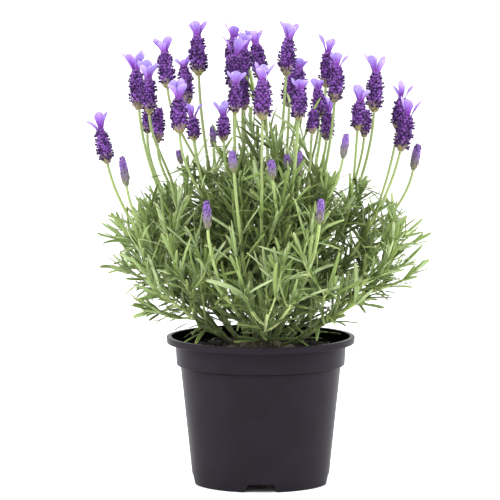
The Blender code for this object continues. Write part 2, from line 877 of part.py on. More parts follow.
def plan_shoots():
    shoots = [flowering_shoot(name, stalks) for name, stalks in FLOWERING_SHOOTS.items()]
    shoots += [leafy_shoot(name, specs) for name, specs in LEAFY_SHOOTS.items()]
    space = Space()
    for stalks in FLOWERING_SHOOTS.values():
        for spec in stalks:
            take_head(space, spec)
    for shoot in shoots:
        for twig in shoot.twigs:
            twig.take(space)
    dress_shoots(shoots, space)
    return shoots


def build_heads(parts, material):
    for name, stalks in FLOWERING_SHOOTS.items():
        heads = [spec for spec in stalks if spec[0] == HEAD]
        for letter, spec in zip("abcd", heads):
            build_head(f"flower_head_{name}{letter}", spec, parts, material)


def main():
    clear_scene()
    parts = new_collection("potted_lavender")
    cutters = new_collection("cutters")
    materials = {name: new_material(name) for name in FINISHES}
    build_pot(parts, cutters, materials["pot_plastic"])
    build_soil(parts, materials["soil"])
    build_crown(parts, materials["bark"])
    for shoot in plan_shoots():
        build_shoot(shoot, parts, materials["foliage"])
    build_heads(parts, materials["flower"])


main()
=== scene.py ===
"""Spanish lavender in a nursery pot: its look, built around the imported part.

The sections follow the plant as it is put together: pot, soil, crown, stems, leaves, young spikes
and flower heads, then the place that it is shown in. Metres, +Z up, in the part's own frame.
"""

from collections import namedtuple

import bmesh
import bpy
import numpy as np
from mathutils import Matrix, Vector


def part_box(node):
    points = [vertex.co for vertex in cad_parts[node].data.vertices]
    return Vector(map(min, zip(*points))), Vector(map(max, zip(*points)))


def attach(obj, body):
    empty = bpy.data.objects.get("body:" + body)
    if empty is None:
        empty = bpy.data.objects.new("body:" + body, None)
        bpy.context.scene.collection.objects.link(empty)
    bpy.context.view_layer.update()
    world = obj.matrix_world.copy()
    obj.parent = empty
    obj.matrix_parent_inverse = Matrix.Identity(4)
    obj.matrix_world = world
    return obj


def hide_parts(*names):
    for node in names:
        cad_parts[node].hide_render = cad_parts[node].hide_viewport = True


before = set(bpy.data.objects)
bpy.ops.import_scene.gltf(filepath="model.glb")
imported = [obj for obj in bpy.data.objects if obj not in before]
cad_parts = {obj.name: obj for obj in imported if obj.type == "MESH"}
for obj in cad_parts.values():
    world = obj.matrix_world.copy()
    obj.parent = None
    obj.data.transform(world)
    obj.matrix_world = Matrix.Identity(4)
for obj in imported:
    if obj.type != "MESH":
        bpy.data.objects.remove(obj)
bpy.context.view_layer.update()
MM = 0.001

# The part leaves this gap between pieces that touch.
TOUCH_GAP = 0.3 * MM


# ---- The pot ------------------------------------------------------------------------------------
# A thin-walled nursery pot, moulded in one piece from near-black polypropylene with a turned-down
# lip, a collar, a tapering body and a notched foot ring. The plant stands in it, held by nothing.

POT_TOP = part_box("pot")[1].z
RIM_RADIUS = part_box("pot")[1].x
POT_WALL = 1.6 * MM
LIP_HEIGHT = 5.2 * MM
LIP_WIDTH = 4.7 * MM
LIP_DRAFT = 0.4 * MM
LIP_ROOT = 0.9 * MM
COLLAR_TOP_RADIUS = RIM_RADIUS - 7.0 * MM
COLLAR_RADIUS = COLLAR_TOP_RADIUS - 1.1 * MM
COLLAR_FOOT = POT_TOP - LIP_HEIGHT - 17.3 * MM
COLLAR_SHOULDER = 1.4 * MM
BODY_RADIUS = COLLAR_RADIUS - 3.0 * MM
FOOT_TOP = 9.0 * MM
FOOT_RADIUS = BODY_RADIUS - 9.0 * MM
FOOT_RING = 3.2 * MM
FOOT_BEND = 0.9 * MM
FOOT_BEND_HEIGHT = 4.0 * MM
FOOT_TAPER = 1.25 * MM
NOTCH_REACH = 2 * MM
NOTCH_HEIGHT = 6.4 * MM
NOTCH_HALF_TOP = 9.5 * MM
NOTCH_HALF_FOOT = 13.5 * MM
DRAIN_RADIUS = 4.0 * MM
DRAIN_CIRCLE = 32.0 * MM
DRAIN_COUNT = 8
DRAIN_SIDES = 24
PUNCH_DEPTH = 8 * MM
CORNER_RADIUS = 0.8 * MM
SHARP_DEGREES = 40
POT_STEPS = 288
POT_COLOURS = ((0.0042, 0.0032, 0.0098), (0.0062, 0.0050, 0.0130))


class Wire:
    """One output of a material's nodes. Arithmetic on it adds Math nodes to that material."""

    def __init__(self, tree, socket=None):
        self.tree = tree
        self.socket = socket

    def node(self, kind, settings=(), inputs=(), output=0):
        """A new node: its settings come first, then the values or links of its inputs."""
        made = self.tree.nodes.new(kind)
        for name, value in dict(settings).items():
            setattr(made, name, value)
        for name, value in dict(inputs).items():
            if isinstance(value, Wire):
                self.tree.links.new(value.socket, made.inputs[name])
            else:
                made.inputs[name].default_value = value
        return Wire(self.tree, made.outputs[output] if len(made.outputs) else None)

    def maths(self, operation, *terms):
        return self.node("ShaderNodeMath", {"operation": operation}, enumerate(terms))

    def mix(self, first, second):
        """A colour between two, by this wire's value from 0 to 1."""
        settings = {"data_type": "RGBA", "clamp_factor": True}
        colours = {6: opaque(first), 7: opaque(second)}
        return self.node("ShaderNodeMix", settings, {0: self, **colours}, output=2)

    def ramp(self, *stops):
        """A colour by this wire's value, from stops of a position and a colour."""
        made = self.node("ShaderNodeValToRGB", (), {0: self})
        elements = made.socket.node.color_ramp.elements
        while len(elements) < len(stops):
            elements.new(0.5)
        for element, (position, colour) in zip(elements, stops):
            element.position = position
            element.color = opaque(colour)
        return made

    def part(self, number):
        """One of a vector's three numbers."""
        return self.node("ShaderNodeSeparateXYZ", (), {0: self}, output=number)

    def stretched(self, *factors):
        """A place with each of its three numbers multiplied, which draws a noise out or in."""
        return self.node("ShaderNodeVectorMath", {"operation": "MULTIPLY"}, {0: self, 1: factors})

    def within(self, low, high):
        """0 below low, 1 above high, and a smooth rise between them."""
        settings = {"interpolation_type": "SMOOTHSTEP"}
        return self.node("ShaderNodeMapRange", settings, {0: self, 1: low, 2: high})

    def noise(self, place, scale, detail=3.0, roughness=0.55):
        sizes = {"Scale": scale, "Detail": detail, "Roughness": roughness}
        return self.node("ShaderNodeTexNoise", (), {"Vector": place, **sizes})

    def bump(self, height, distance, strength=1.0):
        values = {"Height": height, "Distance": distance, "Strength": strength}
        return self.node("ShaderNodeBump", (), values)

    def skin(self, colour, rough, specular, normal, sheen=(0.0, 0.5)):
        """An opaque shader. The sheen is its weight and its roughness."""
        values = {"Base Color": colour, "Roughness": rough, "Specular IOR Level": specular}
        values.update({"Normal": normal, "Sheen Weight": sheen[0], "Sheen Roughness": sheen[1]})
        return self.node("ShaderNodeBsdfPrincipled", (), values)

    def lit_through(self, skin, colour, share):
        """A thin sheet's shader: a share of the light that meets it passes through, coloured."""
        light = self.node("ShaderNodeBsdfTranslucent", (), {"Color": colour})
        return self.node("ShaderNodeMixShader", (), {0: share, 1: skin, 2: light})

    def __add__(self, other):
        return self.maths("ADD", self, other)

    def __sub__(self, other):
        return self.maths("SUBTRACT", self, other)

    def __rsub__(self, other):
        return self.maths("SUBTRACT", other, self)

    def __mul__(self, other):
        return self.maths("MULTIPLY", self, other)

    __radd__ = __add__
    __rmul__ = __mul__


def opaque(colour):
    return colour if isinstance(colour, Wire) else (*colour, 1.0)


def new_finish(name):
    """An empty material, and a wire that its nodes can start from."""
    material = bpy.data.materials.new(name)
    material.use_nodes = True
    material.node_tree.nodes.clear()
    return material, Wire(material.node_tree)


def covered(material, shader):
    """The material, once it has its shader."""
    shader.node("ShaderNodeOutputMaterial", (), {"Surface": shader})
    return material


def object_place(start):
    return start.node("ShaderNodeTexCoord", output=3)


def grain_map(start):
    return start.node("ShaderNodeUVMap", {"uv_map": "grain"})


def attribute(start, name):
    return start.node("ShaderNodeAttribute", {"attribute_name": name}, output=2)


def show(mesh, name, slot, *nodes):
    """Put a finished mesh in the scene as a piece that stands for the part's nodes."""
    piece = bpy.data.objects.new(name, mesh)
    bpy.context.scene.collection.objects.link(piece)
    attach(piece, "root")
    if nodes:
        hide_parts(*nodes)
    return piece


def rounded(corners, radius, steps=5):
    """A line of corners, each of them turned into a short curve.

    Each curve starts and ends at the radius from its corner, or at 45 % of a shorter side, and is
    the quadratic curve that the corner pulls. The two ends of the line stay where they are.
    """
    corners = np.array(corners, float)
    middle = corners[1:-1]
    share = np.linspace(0, 1, steps)[:, None, None]
    ends = []
    for beside in (corners[:-2], corners[2:]):
        way = beside - middle
        length = np.linalg.norm(way, axis=1, keepdims=True)
        ends.append(middle + way / length * np.minimum(radius, 0.45 * length))
    curve = ends[0] * (1 - share) ** 2 + middle * 2 * share * (1 - share) + ends[1] * share**2
    between = curve.transpose(1, 0, 2).reshape(-1, 2)
    return np.vstack([corners[:1], between, corners[-1:]])


def circled(radius, angle, height):
    """Points at a radius, an angle and a height, each a number or an array."""
    x, y = radius * np.cos(angle), radius * np.sin(angle)
    return np.stack(np.broadcast_arrays(x, y, height), axis=-1)


def full_turn(steps):
    return np.arange(steps) * 2 * np.pi / steps


def turned(profile, steps):
    """A profile of (radius, height) rows carried round the Z axis: an array of rows by steps."""
    radius, height = np.array(profile, float).T
    return circled(radius[:, None], full_turn(steps), height[:, None])


def welded(points, name):
    """A turned surface as a closed mesh: its rows at the axis become one point each."""
    rows, steps = points.shape[:2]
    first = np.arange(rows * steps).reshape(rows, steps)
    following = np.roll(first, -1, axis=1)
    corners = (first[:-1], following[:-1], following[1:], first[1:])
    faces = np.stack(corners, axis=-1).reshape(-1, 4)
    mesh = bpy.data.meshes.new(name)
    mesh.from_pydata(points.reshape(-1, 3).tolist(), [], faces.tolist())
    bm = bmesh.new()
    bm.from_mesh(mesh)
    bmesh.ops.remove_doubles(bm, verts=bm.verts, dist=0.002 * MM)
    bmesh.ops.recalc_face_normals(bm, faces=bm.faces)
    bm.to_mesh(mesh)
    bm.free()
    mesh.shade_smooth()
    return mesh


def notched(points):
    """Raise the foot's points into the four notches, each a trapezoid that narrows upwards."""
    x, y, z = np.moveaxis(points, -1, 0)
    beside = np.minimum(abs(x), abs(y))
    slope = (NOTCH_HALF_FOOT - beside) / (NOTCH_HALF_FOOT - NOTCH_HALF_TOP)
    ceiling = NOTCH_HEIGHT * np.clip(slope, 0, 1)
    at_foot = np.hypot(x, y) > FOOT_RADIUS - FOOT_RING - NOTCH_REACH
    z = np.where(at_foot & (z < FOOT_TOP), np.maximum(z, ceiling), z)
    return np.stack([x, y, z], axis=-1)


def pierced(mesh, places, radius):
    """The mesh with round holes cut down through it."""
    target = bpy.data.objects.new("pot_blank", mesh)
    punches = bmesh.new()
    for x, y, z in places:
        punch = bmesh.ops.create_cone(
            punches, cap_ends=True, segments=DRAIN_SIDES, radius1=radius, radius2=radius,
            depth=PUNCH_DEPTH
        )
        bmesh.ops.translate(punches, verts=punch["verts"], vec=(x, y, z))
    punch_mesh = bpy.data.meshes.new("drain_punches")
    punches.to_mesh(punch_mesh)
    punches.free()
    cutter = bpy.data.objects.new("drain_punches", punch_mesh)
    for thing in (target, cutter):
        bpy.context.scene.collection.objects.link(thing)
    holes = target.modifiers.new("Holes", "BOOLEAN")
    holes.solver = "EXACT"
    holes.object = cutter
    seen = target.evaluated_get(bpy.context.evaluated_depsgraph_get())
    made = bpy.data.meshes.new_from_object(seen)
    for thing in (target, cutter):
        bpy.data.objects.remove(thing)
    return made


def pot_finish():
    """Satin black plastic: fine mould grain, scuffed highlights, a film of dust and dry splashes."""
    material, start = new_finish("black_nursery_plastic")
    place = object_place(start)
    cloud = start.noise(place, 34.0)
    speck = start.noise(place, 900.0, 2.0)
    flow = start.noise(place.stretched(60.0, 60.0, 900.0), 1.0, 2.0)
    splash = start.noise(place, 210.0, 4.0).within(0.60, 0.72)
    low = 1 - place.part(2).within(2 * MM, 30 * MM)
    dust = (splash * (0.25 + low * 0.5) + low * cloud * 0.3).maths("MINIMUM", 1.0) * 0.35
    plastic = cloud.within(0.35, 0.65).mix(*POT_COLOURS)
    colour = dust.mix(plastic, (0.060, 0.050, 0.040))
    rough = cloud * 0.10 + speck * 0.06 + dust * 0.5 + 0.20
    relief = start.bump(speck * 0.5 + flow * 0.5, 0.05 * MM, 0.5)
    return covered(material, start.skin(colour, rough, 0.03, relief))


def painted_shade_finish():
    """The pot's inside: painted shade, darker than the outside plastic and without its shine, with
    smears of drier peat.
    """
    material, start = new_finish("pot_inside_painted_shade")
    place = object_place(start)
    smear = start.noise(place, 90.0, 4.0).within(0.55, 0.75)
    speck = start.noise(place, 1100.0, 2.0)
    # The near-black is painted shade inside the pot; the brown smears are peat.
    colour = (smear * 0.6).mix((0.0028, 0.0022, 0.0028), (0.022, 0.016, 0.011))
    relief = start.bump(speck + smear, 0.12 * MM)
    return covered(material, start.skin(colour, speck * 0.15 + 0.8, 0.0, relief))


wall_inside = [
    (FOOT_RADIUS, FOOT_TOP + POT_WALL),
    (BODY_RADIUS - POT_WALL, COLLAR_FOOT - POT_WALL),
    (COLLAR_RADIUS - POT_WALL, COLLAR_FOOT + COLLAR_SHOULDER),
    (COLLAR_TOP_RADIUS - POT_WALL, POT_TOP - LIP_HEIGHT + LIP_ROOT),
]
lip = [
    (RIM_RADIUS - LIP_WIDTH, POT_TOP),
    (RIM_RADIUS, POT_TOP),
    (RIM_RADIUS - LIP_DRAFT, POT_TOP - LIP_HEIGHT),
    (COLLAR_TOP_RADIUS, POT_TOP - LIP_HEIGHT),
]
wall_outside = [
    (COLLAR_RADIUS, COLLAR_FOOT),
    (BODY_RADIUS, COLLAR_FOOT),
    (FOOT_RADIUS, FOOT_TOP),
    (FOOT_RADIUS - FOOT_BEND, FOOT_BEND_HEIGHT),
    (FOOT_RADIUS - FOOT_TAPER, 0.0),
    (FOOT_RADIUS - FOOT_TAPER - FOOT_RING, 0.0),
    (FOOT_RADIUS - FOOT_TAPER - FOOT_RING, FOOT_TOP),
]
floor_top = [(0.0, FOOT_TOP + POT_WALL)]
floor_under = [(0.0, FOOT_TOP)]
pot_line = rounded(floor_top + wall_inside + lip + wall_outside + floor_under, CORNER_RADIUS)
pot_mesh = welded(notched(turned(pot_line, POT_STEPS)), "nursery_pot")
drain_angles = (np.arange(DRAIN_COUNT) + 0.5) * 2 * np.pi / DRAIN_COUNT
drain_places = circled(DRAIN_CIRCLE, drain_angles, FOOT_TOP)
pot_mesh = pierced(pot_mesh, drain_places.tolist(), DRAIN_RADIUS)
pot_mesh.set_sharp_from_angle(angle=np.radians(SHARP_DEGREES))
pot_mesh.materials.clear()
pot_mesh.materials.append(pot_finish())
pot_mesh.materials.append(painted_shade_finish())
middles = np.empty(len(pot_mesh.polygons) * 3)
pot_mesh.polygons.foreach_get("center", middles)
middle_x, middle_y, middle_z = middles.reshape(-1, 3).T
line_radii, line_heights = zip(*wall_inside, lip[0])
in_the_wall = np.interp(middle_z, line_heights, line_radii) + POT_WALL / 2
# Faces inside the pot above the collar's foot get the painted shade.
in_painted_shade = (np.hypot(middle_x, middle_y) < in_the_wall) & (middle_z > COLLAR_FOOT)
pot_mesh.polygons.foreach_set("material_index", in_painted_shade.astype(np.int32))
show(pot_mesh, "nursery_pot", "pot_plastic", "pot")


# ---- The soil -----------------------------------------------------------------------------------
# A root ball of dark peat that fills the pot. Its top is crumbly, with lumps, fibres and a little
# perlite, and it is closed all round, because the pot only holds it.

CROWN_ROOT = 11.7 * MM
SOIL_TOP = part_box("crown")[0].z + CROWN_ROOT
SOIL_RISE = 1.5 * MM
SOIL_SIDE_GAP = 0.35 * MM
PIT_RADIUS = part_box("crown")[1].x + TOUCH_GAP
PIT_DEPTH = 12 * MM
SOIL_STEPS = 180
CRUMB_COUNT = 1100
CRUMB_SIZES = (0.5 * MM, 2.3 * MM)
CRUMB_LIFT = 1.2 * MM
PEBBLE_ROWS = 5
PEBBLE_RING = 6

# Hills and knots begin this far from the edge of a surface.
STILL_EDGE = 1 * MM


def ripple(points, wavelength, seed, waves=14):
    """Smooth hills from -1 to 1: the mean of sine waves in chance directions, near a wavelength."""
    chance = np.random.default_rng(seed)
    ways = chance.normal(size=(waves, 3))
    ways /= np.linalg.norm(ways, axis=1, keepdims=True)
    ways *= 2 * np.pi / wavelength * chance.uniform(0.6, 1.6, (waves, 1))
    offsets = chance.uniform(0, 2 * np.pi, waves)
    total = np.zeros(points.shape[:-1])
    for way, offset in zip(ways, offsets):
        total += np.sin(points @ way + offset)
    return total / np.sqrt(waves)


class Surfaces:
    """Closed tubes of rings, gathered to become one mesh.

    Each batch is an array of tubes by rows by ring points by three. Rows are joined by quads and
    both ends are capped. The UV map runs round the ring in U and along the tube in V, and two
    attributes hold a number for each tube or row: tone and place.
    """

    def __init__(self):
        self.batches = []

    def add(self, points, slot, around, along, tone, place):
        count, rows, ring = points.shape[:3]
        shape = (count, rows, ring)
        numbers = []
        for value in (tone, place):
            value = np.asarray(value, float)
            value = value.reshape(value.shape + (1,) * (3 - value.ndim))
            numbers.append(np.broadcast_to(value, shape).reshape(-1))
        along = np.broadcast_to(np.asarray(along, float), (count, rows))
        self.batches.append((points, slot, np.asarray(around, float), along, numbers))

    def mesh(self, name, *materials):
        places, loops, totals, slots, turns, numbers = [], [], [], [], [], []
        base = 0
        for points, slot, around, along, batch_numbers in self.batches:
            count, rows, ring = points.shape[:3]
            index = np.arange(count * rows * ring).reshape(count, rows, ring) + base
            step = np.roll(index, -1, axis=2)
            corners = (index[:, :-1], step[:, :-1], step[:, 1:], index[:, 1:])
            quads = np.stack(corners, axis=-1).reshape(-1)
            u_low, u_high, v_low, v_high = (
                np.broadcast_to(side, (count, rows - 1, ring))
                for side in (around[:-1], around[1:], along[:, :-1, None], along[:, 1:, None])
            )
            u = np.stack([u_low, u_high, u_high, u_low], axis=-1).reshape(-1)
            v = np.stack([v_low, v_low, v_high, v_high], axis=-1).reshape(-1)
            foot, tip = index[:, 0, ::-1].reshape(-1), index[:, -1].reshape(-1)
            cap_u = np.concatenate([np.tile(around[-2::-1], count), np.tile(around[:-1], count)])
            cap_v = np.repeat(np.concatenate([along[:, 0], along[:, -1]]), ring)
            places.append(points.reshape(-1, 3))
            loops.append(np.concatenate([quads, foot, tip]))
            totals.append(np.repeat([4, ring], [len(quads) // 4, 2 * count]))
            slots.append(np.full(len(totals[-1]), slot))
            turns.append(np.stack([np.append(u, cap_u), np.append(v, cap_v)], axis=1))
            numbers.append(batch_numbers)
            base += count * rows * ring
        mesh = bpy.data.meshes.new(name)
        mesh.vertices.add(base)
        mesh.vertices.foreach_set("co", np.concatenate(places).ravel())
        loop, total = np.concatenate(loops), np.concatenate(totals)
        mesh.loops.add(len(loop))
        mesh.loops.foreach_set("vertex_index", loop)
        mesh.polygons.add(len(total))
        mesh.polygons.foreach_set("loop_start", np.cumsum(total) - total)
        mesh.polygons.foreach_set("material_index", np.concatenate(slots))
        mesh.update(calc_edges=True)
        uv = mesh.uv_layers.new(name="grain")
        uv.data.foreach_set("uv", np.concatenate(turns).ravel())
        for number, label in enumerate(("tone", "place")):
            values = np.concatenate([batch[number] for batch in numbers])
            mesh.attributes.new(label, "FLOAT", "POINT").data.foreach_set("value", values)
        mesh.shade_smooth()
        for material in materials:
            mesh.materials.append(material)
        mesh.validate()
        return mesh


def unit(vectors):
    return vectors / np.maximum(np.linalg.norm(vectors, axis=-1, keepdims=True), 1e-9)


def swung(first, second, angles):
    """Directions at angles from the first towards the second, which is square to it."""
    return first * np.cos(angles)[:, None] + second * np.sin(angles)[:, None]


def aim_and_face(stem, out, pitch):
    """A blade's direction, pitched out from its stem, and the way that its upper side faces."""
    return swung(stem, out, pitch), swung(-out, stem, pitch)


def pebbles(centres, sizes, chance):
    """Small lumps: balls of a few rings, with each point pushed in or out by chance."""
    fall = np.linspace(0.12, np.pi - 0.12, PEBBLE_ROWS)[:, None]
    ball = circled(np.sin(fall), full_turn(PEBBLE_RING), -np.cos(fall))
    lumps = chance.uniform(0.7, 1.25, (len(centres), PEBBLE_ROWS, PEBBLE_RING, 1))
    stretch = chance.uniform(0.6, 1.4, (len(centres), 1, 1, 3))
    return centres[:, None, None] + ball * lumps * stretch * sizes[:, None, None, None]


def soil_finish():
    """Damp peat: near-black lumps, brown where it has dried, and coarse in relief."""
    material, start = new_finish("dark_peat")
    place = object_place(start)
    lump = start.noise(place, 260.0, 5.0, 0.7)
    fibre = start.noise(place, 1400.0, 3.0, 0.6)
    dry = start.noise(place, 70.0).within(0.45, 0.70) * lump.within(0.4, 0.7)
    colour = dry.mix((0.0060, 0.0042, 0.0032), (0.030, 0.020, 0.013))
    colour = (attribute(start, "tone").within(0.90, 0.97) * 0.8).mix(colour, (0.24, 0.21, 0.17))
    relief = start.bump(lump + fibre * 0.4, 0.9 * MM)
    return covered(material, start.skin(colour, lump * 0.3 + 0.65, 0.1, relief))


def inside_radius(height):
    """The pot's inside radius at a height above its floor."""
    radii, heights = zip(*wall_inside)
    return np.interp(height, heights, radii)


peat = soil_finish()
soil_edge = inside_radius(SOIL_TOP) - TOUCH_GAP
ball_heights = np.linspace(SOIL_TOP - 2 * MM, FOOT_TOP + POT_WALL + TOUCH_GAP, 12)
ball_side = [(inside_radius(z) - SOIL_SIDE_GAP, z) for z in ball_heights]
top_radii = np.linspace(PIT_RADIUS, soil_edge, 34)
top_rise = SOIL_RISE * np.sin((top_radii - PIT_RADIUS) / (soil_edge - PIT_RADIUS) * np.pi)
soil_line = [(0.0, SOIL_TOP - PIT_DEPTH), (PIT_RADIUS, SOIL_TOP - PIT_DEPTH)]
soil_line += list(zip(top_radii, SOIL_TOP + top_rise)) + ball_side + [(0.0, ball_side[-1][1])]
soil_points = turned(soil_line, SOIL_STEPS)
soil_radius = np.hypot(soil_points[..., 0], soil_points[..., 1])
on_top = (soil_points[..., 2] > SOIL_TOP - STILL_EDGE) & (soil_radius < soil_edge - STILL_EDGE / 2)
hills = ripple(soil_points, 17 * MM, 3) * 0.5 * MM + ripple(soil_points, 5 * MM, 4) * 0.45 * MM
soil_points[..., 2] += np.where(on_top & (soil_radius > PIT_RADIUS + STILL_EDGE), hills, 0)
soil_mesh = welded(soil_points, "peat_root_ball")
soil_mesh.materials.append(peat)
show(soil_mesh, "peat_root_ball", "soil", "soil")

crumb_chance = np.random.default_rng(11)
crumb_radius = np.sqrt(crumb_chance.uniform(PIT_RADIUS**2, (soil_edge - 2 * MM) ** 2, CRUMB_COUNT))
crumb_angle = crumb_chance.uniform(0, 2 * np.pi, CRUMB_COUNT)
crumb_size = crumb_chance.power(0.45, CRUMB_COUNT) * (CRUMB_SIZES[1] - CRUMB_SIZES[0]) * 0.5
crumb_size += CRUMB_SIZES[0] * 0.5
crumb_centres = circled(crumb_radius, crumb_angle, SOIL_TOP + CRUMB_LIFT + crumb_size * 0.5)
crumbs = Surfaces()
crumbs.add(
    pebbles(crumb_centres, crumb_size, crumb_chance), 0, np.linspace(0, 1, PEBBLE_RING + 1),
    np.linspace(0, 1, PEBBLE_ROWS), crumb_chance.uniform(0, 1, CRUMB_COUNT), 0.5
)
show(crumbs.mesh("peat_crumbs", peat), "peat_crumbs", "soil")


# ---- The crown ----------------------------------------------------------------------------------
# The woody base of the plant, where all shoots start: a low knotted dome of grey-brown bark on a
# plug that goes down into the soil.

CROWN_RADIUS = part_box("crown")[1].x
CROWN_RISE = 7.0 * MM
KNOT_RISE = 0.8 * MM
CROWN_STEPS = 96


def bark_finish():
    """Flaking grey-brown bark: long fibres in relief, pale ridges and dark cracks."""
    material, start = new_finish("lavender_bark")
    place = object_place(start)
    fibre = start.noise(place.stretched(900.0, 900.0, 160.0), 1.0, 4.0, 0.65)
    patch = start.noise(place, 120.0).within(0.35, 0.65)
    colour = fibre.within(0.3, 0.7).mix((0.030, 0.020, 0.013), (0.20, 0.145, 0.095))
    colour = (patch * 0.5).mix(colour, (0.11, 0.10, 0.075))
    relief = start.bump(fibre, 0.5 * MM)
    return covered(material, start.skin(colour, fibre * 0.25 + 0.65, 0.3, relief))


def crown_height(radius):
    """The dome's height at a distance from the pot's axis: a parabola down to the soil."""
    share = np.minimum(radius / CROWN_RADIUS, 1.0)
    return SOIL_TOP + CROWN_RISE * (1 - share**2)


bark = bark_finish()
dome_radii = np.linspace(0, CROWN_RADIUS, 20)
crown_line = list(zip(dome_radii, crown_height(dome_radii)))
crown_line += [(CROWN_RADIUS, SOIL_TOP - CROWN_ROOT), (0.0, SOIL_TOP - CROWN_ROOT)]
crown_points = turned(crown_line, CROWN_STEPS)
crown_reach = np.hypot(crown_points[..., 0], crown_points[..., 1])
knots = ripple(crown_points, 13 * MM, 6) * KNOT_RISE + ripple(crown_points, 4 * MM, 7) * 0.3 * MM
knotted = (crown_reach < CROWN_RADIUS - STILL_EDGE) & (crown_points[..., 2] > SOIL_TOP - STILL_EDGE)
crown_points[..., 2] += np.where(knotted & (crown_reach > 0), knots - KNOT_RISE, 0)
crown_mesh = welded(crown_points, "woody_crown")
crown_mesh.materials.append(bark)
show(crown_mesh, "woody_crown", "bark", "crown")


# ---- The paths of the stems ---------------------------------------------------------------------
# Each shoot is one main stem from the crown with stalks or leafy twigs forked off its joints. The
# stalks end under the flower heads, so those ends are read from the part's own heads.

UP = np.array([0.0, 0.0, 1.0])
STEM_HALF_WIDTH = 1.15 * MM
STALK_HALF_WIDTH = 0.8 * MM
JOINT_STEP = 15.0 * MM
BARE_STALK = 66.0 * MM
FORK_BELOW_TIP = 84.0 * MM
WIDEST_REACH = 127.0 * MM
FLOWERING_ROOT_SHARE = 0.8
LEAFY_ROOT_SHARE = 0.93
START_SPREAD = 1.35
DEPTH_LEAN = 1.1
FORK_OUT = 0.75
FORK_UP = 0.65

# Young spikes of each flowering shoot, in millimetres: where the stalk ends across, in depth and
# above the soil, its lean across for each millimetre up, and the spike's length and half width.
YOUNG_SPIKES = {
    "01": [(-105, -40, 133, -0.16, 22, 4.0)],
    "04": [(-63, 22, 145, -0.26, 10, 2.5), (-38, 66, 155, -0.05, 15, 3.0)],
    "06": [(-21, -72, 147, -0.09, 15, 4.0), (-41, -88, 104, -0.05, 21, 3.8)],
    "09": [(9, -70, 141, -0.08, 14, 4.0)],
    "10": [(21, -34, 145, -0.07, 11, 2.8)],
    "12": [(30, -40, 141, 0.02, 18, 3.0)],
    "13": [(64, -42, 155, 0.15, 18, 3.6)],
    "16": [(121, 10, 141, 0.19, 20, 4.3)],
    "17": [(45, -86, 108, 0.08, 18, 3.6)],
}

# Twigs of each leafy shoot: direction in degrees round the pot from +X, then how far out and how
# high above the soil the twig ends, in millimetres. The first is the shoot's main stem.
LEAFY_TWIGS = {
    "left": [(172, 106, 84), (186, 104, 62), (160, 100, 60)],
    "front_left": [(216, 98, 50), (228, 96, 66), (205, 92, 34)],
    "front": [(273, 93, 38), (285, 90, 46), (262, 90, 54)],
    "front_right": [(318, 100, 44), (304, 94, 56), (331, 98, 62)],
    "right": [(1, 120, 84), (349, 116, 58), (13, 114, 62)],
    "back_right": [(45, 102, 66), (58, 94, 46), (32, 100, 84)],
    "back": [(92, 90, 78), (78, 90, 56), (106, 88, 52)],
    "back_left": [(137, 100, 72), (124, 94, 50), (150, 96, 84)],
}


# A flower head or young spike: where it starts, its direction, and its three sizes.
Spike = namedtuple("Spike", "foot axis length half_width ear")


def read_head(node):
    """A head's place and sizes, from the rings of six points that its CAD spike is made of.

    The points are sorted along their longest direction. The first ring is the foot, the third is
    the widest and the fifth is the spike's top; whatever rises past that is the tuft of ears.
    """
    points = np.array([vertex.co for vertex in node.data.vertices])
    points = np.unique(points.round(6), axis=0)
    spread = points - points.mean(axis=0)
    long_way = np.linalg.svd(spread, full_matrices=False)[2][0]
    long_way *= np.sign(long_way[2])
    points = points[np.argsort(points @ long_way)]
    foot, top = points[:6].mean(axis=0), points[24:30].mean(axis=0)
    axis = unit(top - foot)
    from_foot = points - foot
    beside = np.linalg.norm(from_foot - (from_foot @ axis)[:, None] * axis, axis=1)
    length = float(np.linalg.norm(top - foot))
    ear = float((from_foot @ axis).max()) - length
    return Spike(foot, axis, length, float(beside[12:18].max()), ear)


def young_spike(x, y, height, lean, length, half_width):
    foot = np.array([x * MM, y * MM, SOIL_TOP + height * MM])
    axis = unit(np.array([lean, y * MM * DEPTH_LEAN, 1.0]))
    return Spike(foot, axis, length * MM, half_width * MM, 0.0)


class Twig:
    """A curved stem: a cubic path between two ends, with a direction and a pull at each."""

    def __init__(self, start, end, leave, arrive, guide, widths):
        self.start = start
        self.end = end
        self.leave = leave
        self.arrive = arrive
        self.guide = guide
        self.widths = widths
        self.shares = np.zeros(0)
        self.taken = set()

    def reach(self):
        return float(np.linalg.norm(self.end - self.start))

    def points(self, shares):
        """start r²(1+2s) + end s²(1+2r) + leave s r² - arrive s² r, where r is 1 - s."""
        s = np.asarray(shares, float)[:, None]
        r = 1 - s
        return (
            self.start * (r * r * (1 + 2 * s))
            + self.end * (s * s * (1 + 2 * r))
            + self.leave * (s * r * r)
            - self.arrive * (s * s * r)
        )

    def frames(self, shares):
        """Places along the stem with its direction, and the two directions across it, at each."""
        shares = np.asarray(shares, float)
        after = self.points(np.minimum(shares + 0.002, 1))
        before = self.points(np.maximum(shares - 0.002, 0))
        stem = unit(after - before)
        across = unit(self.guide - stem * (stem @ self.guide)[:, None])
        return self.points(shares), stem, across, np.cross(stem, across)

    def half_widths(self, shares):
        first, last = self.widths
        return first + (last - first) * np.asarray(shares, float)

    def lay_joints(self, first, last, step):
        if last > first:
            steps = max(round((last - first) / step), 1)
            self.shares = np.linspace(first, last, steps + 1) / self.reach()


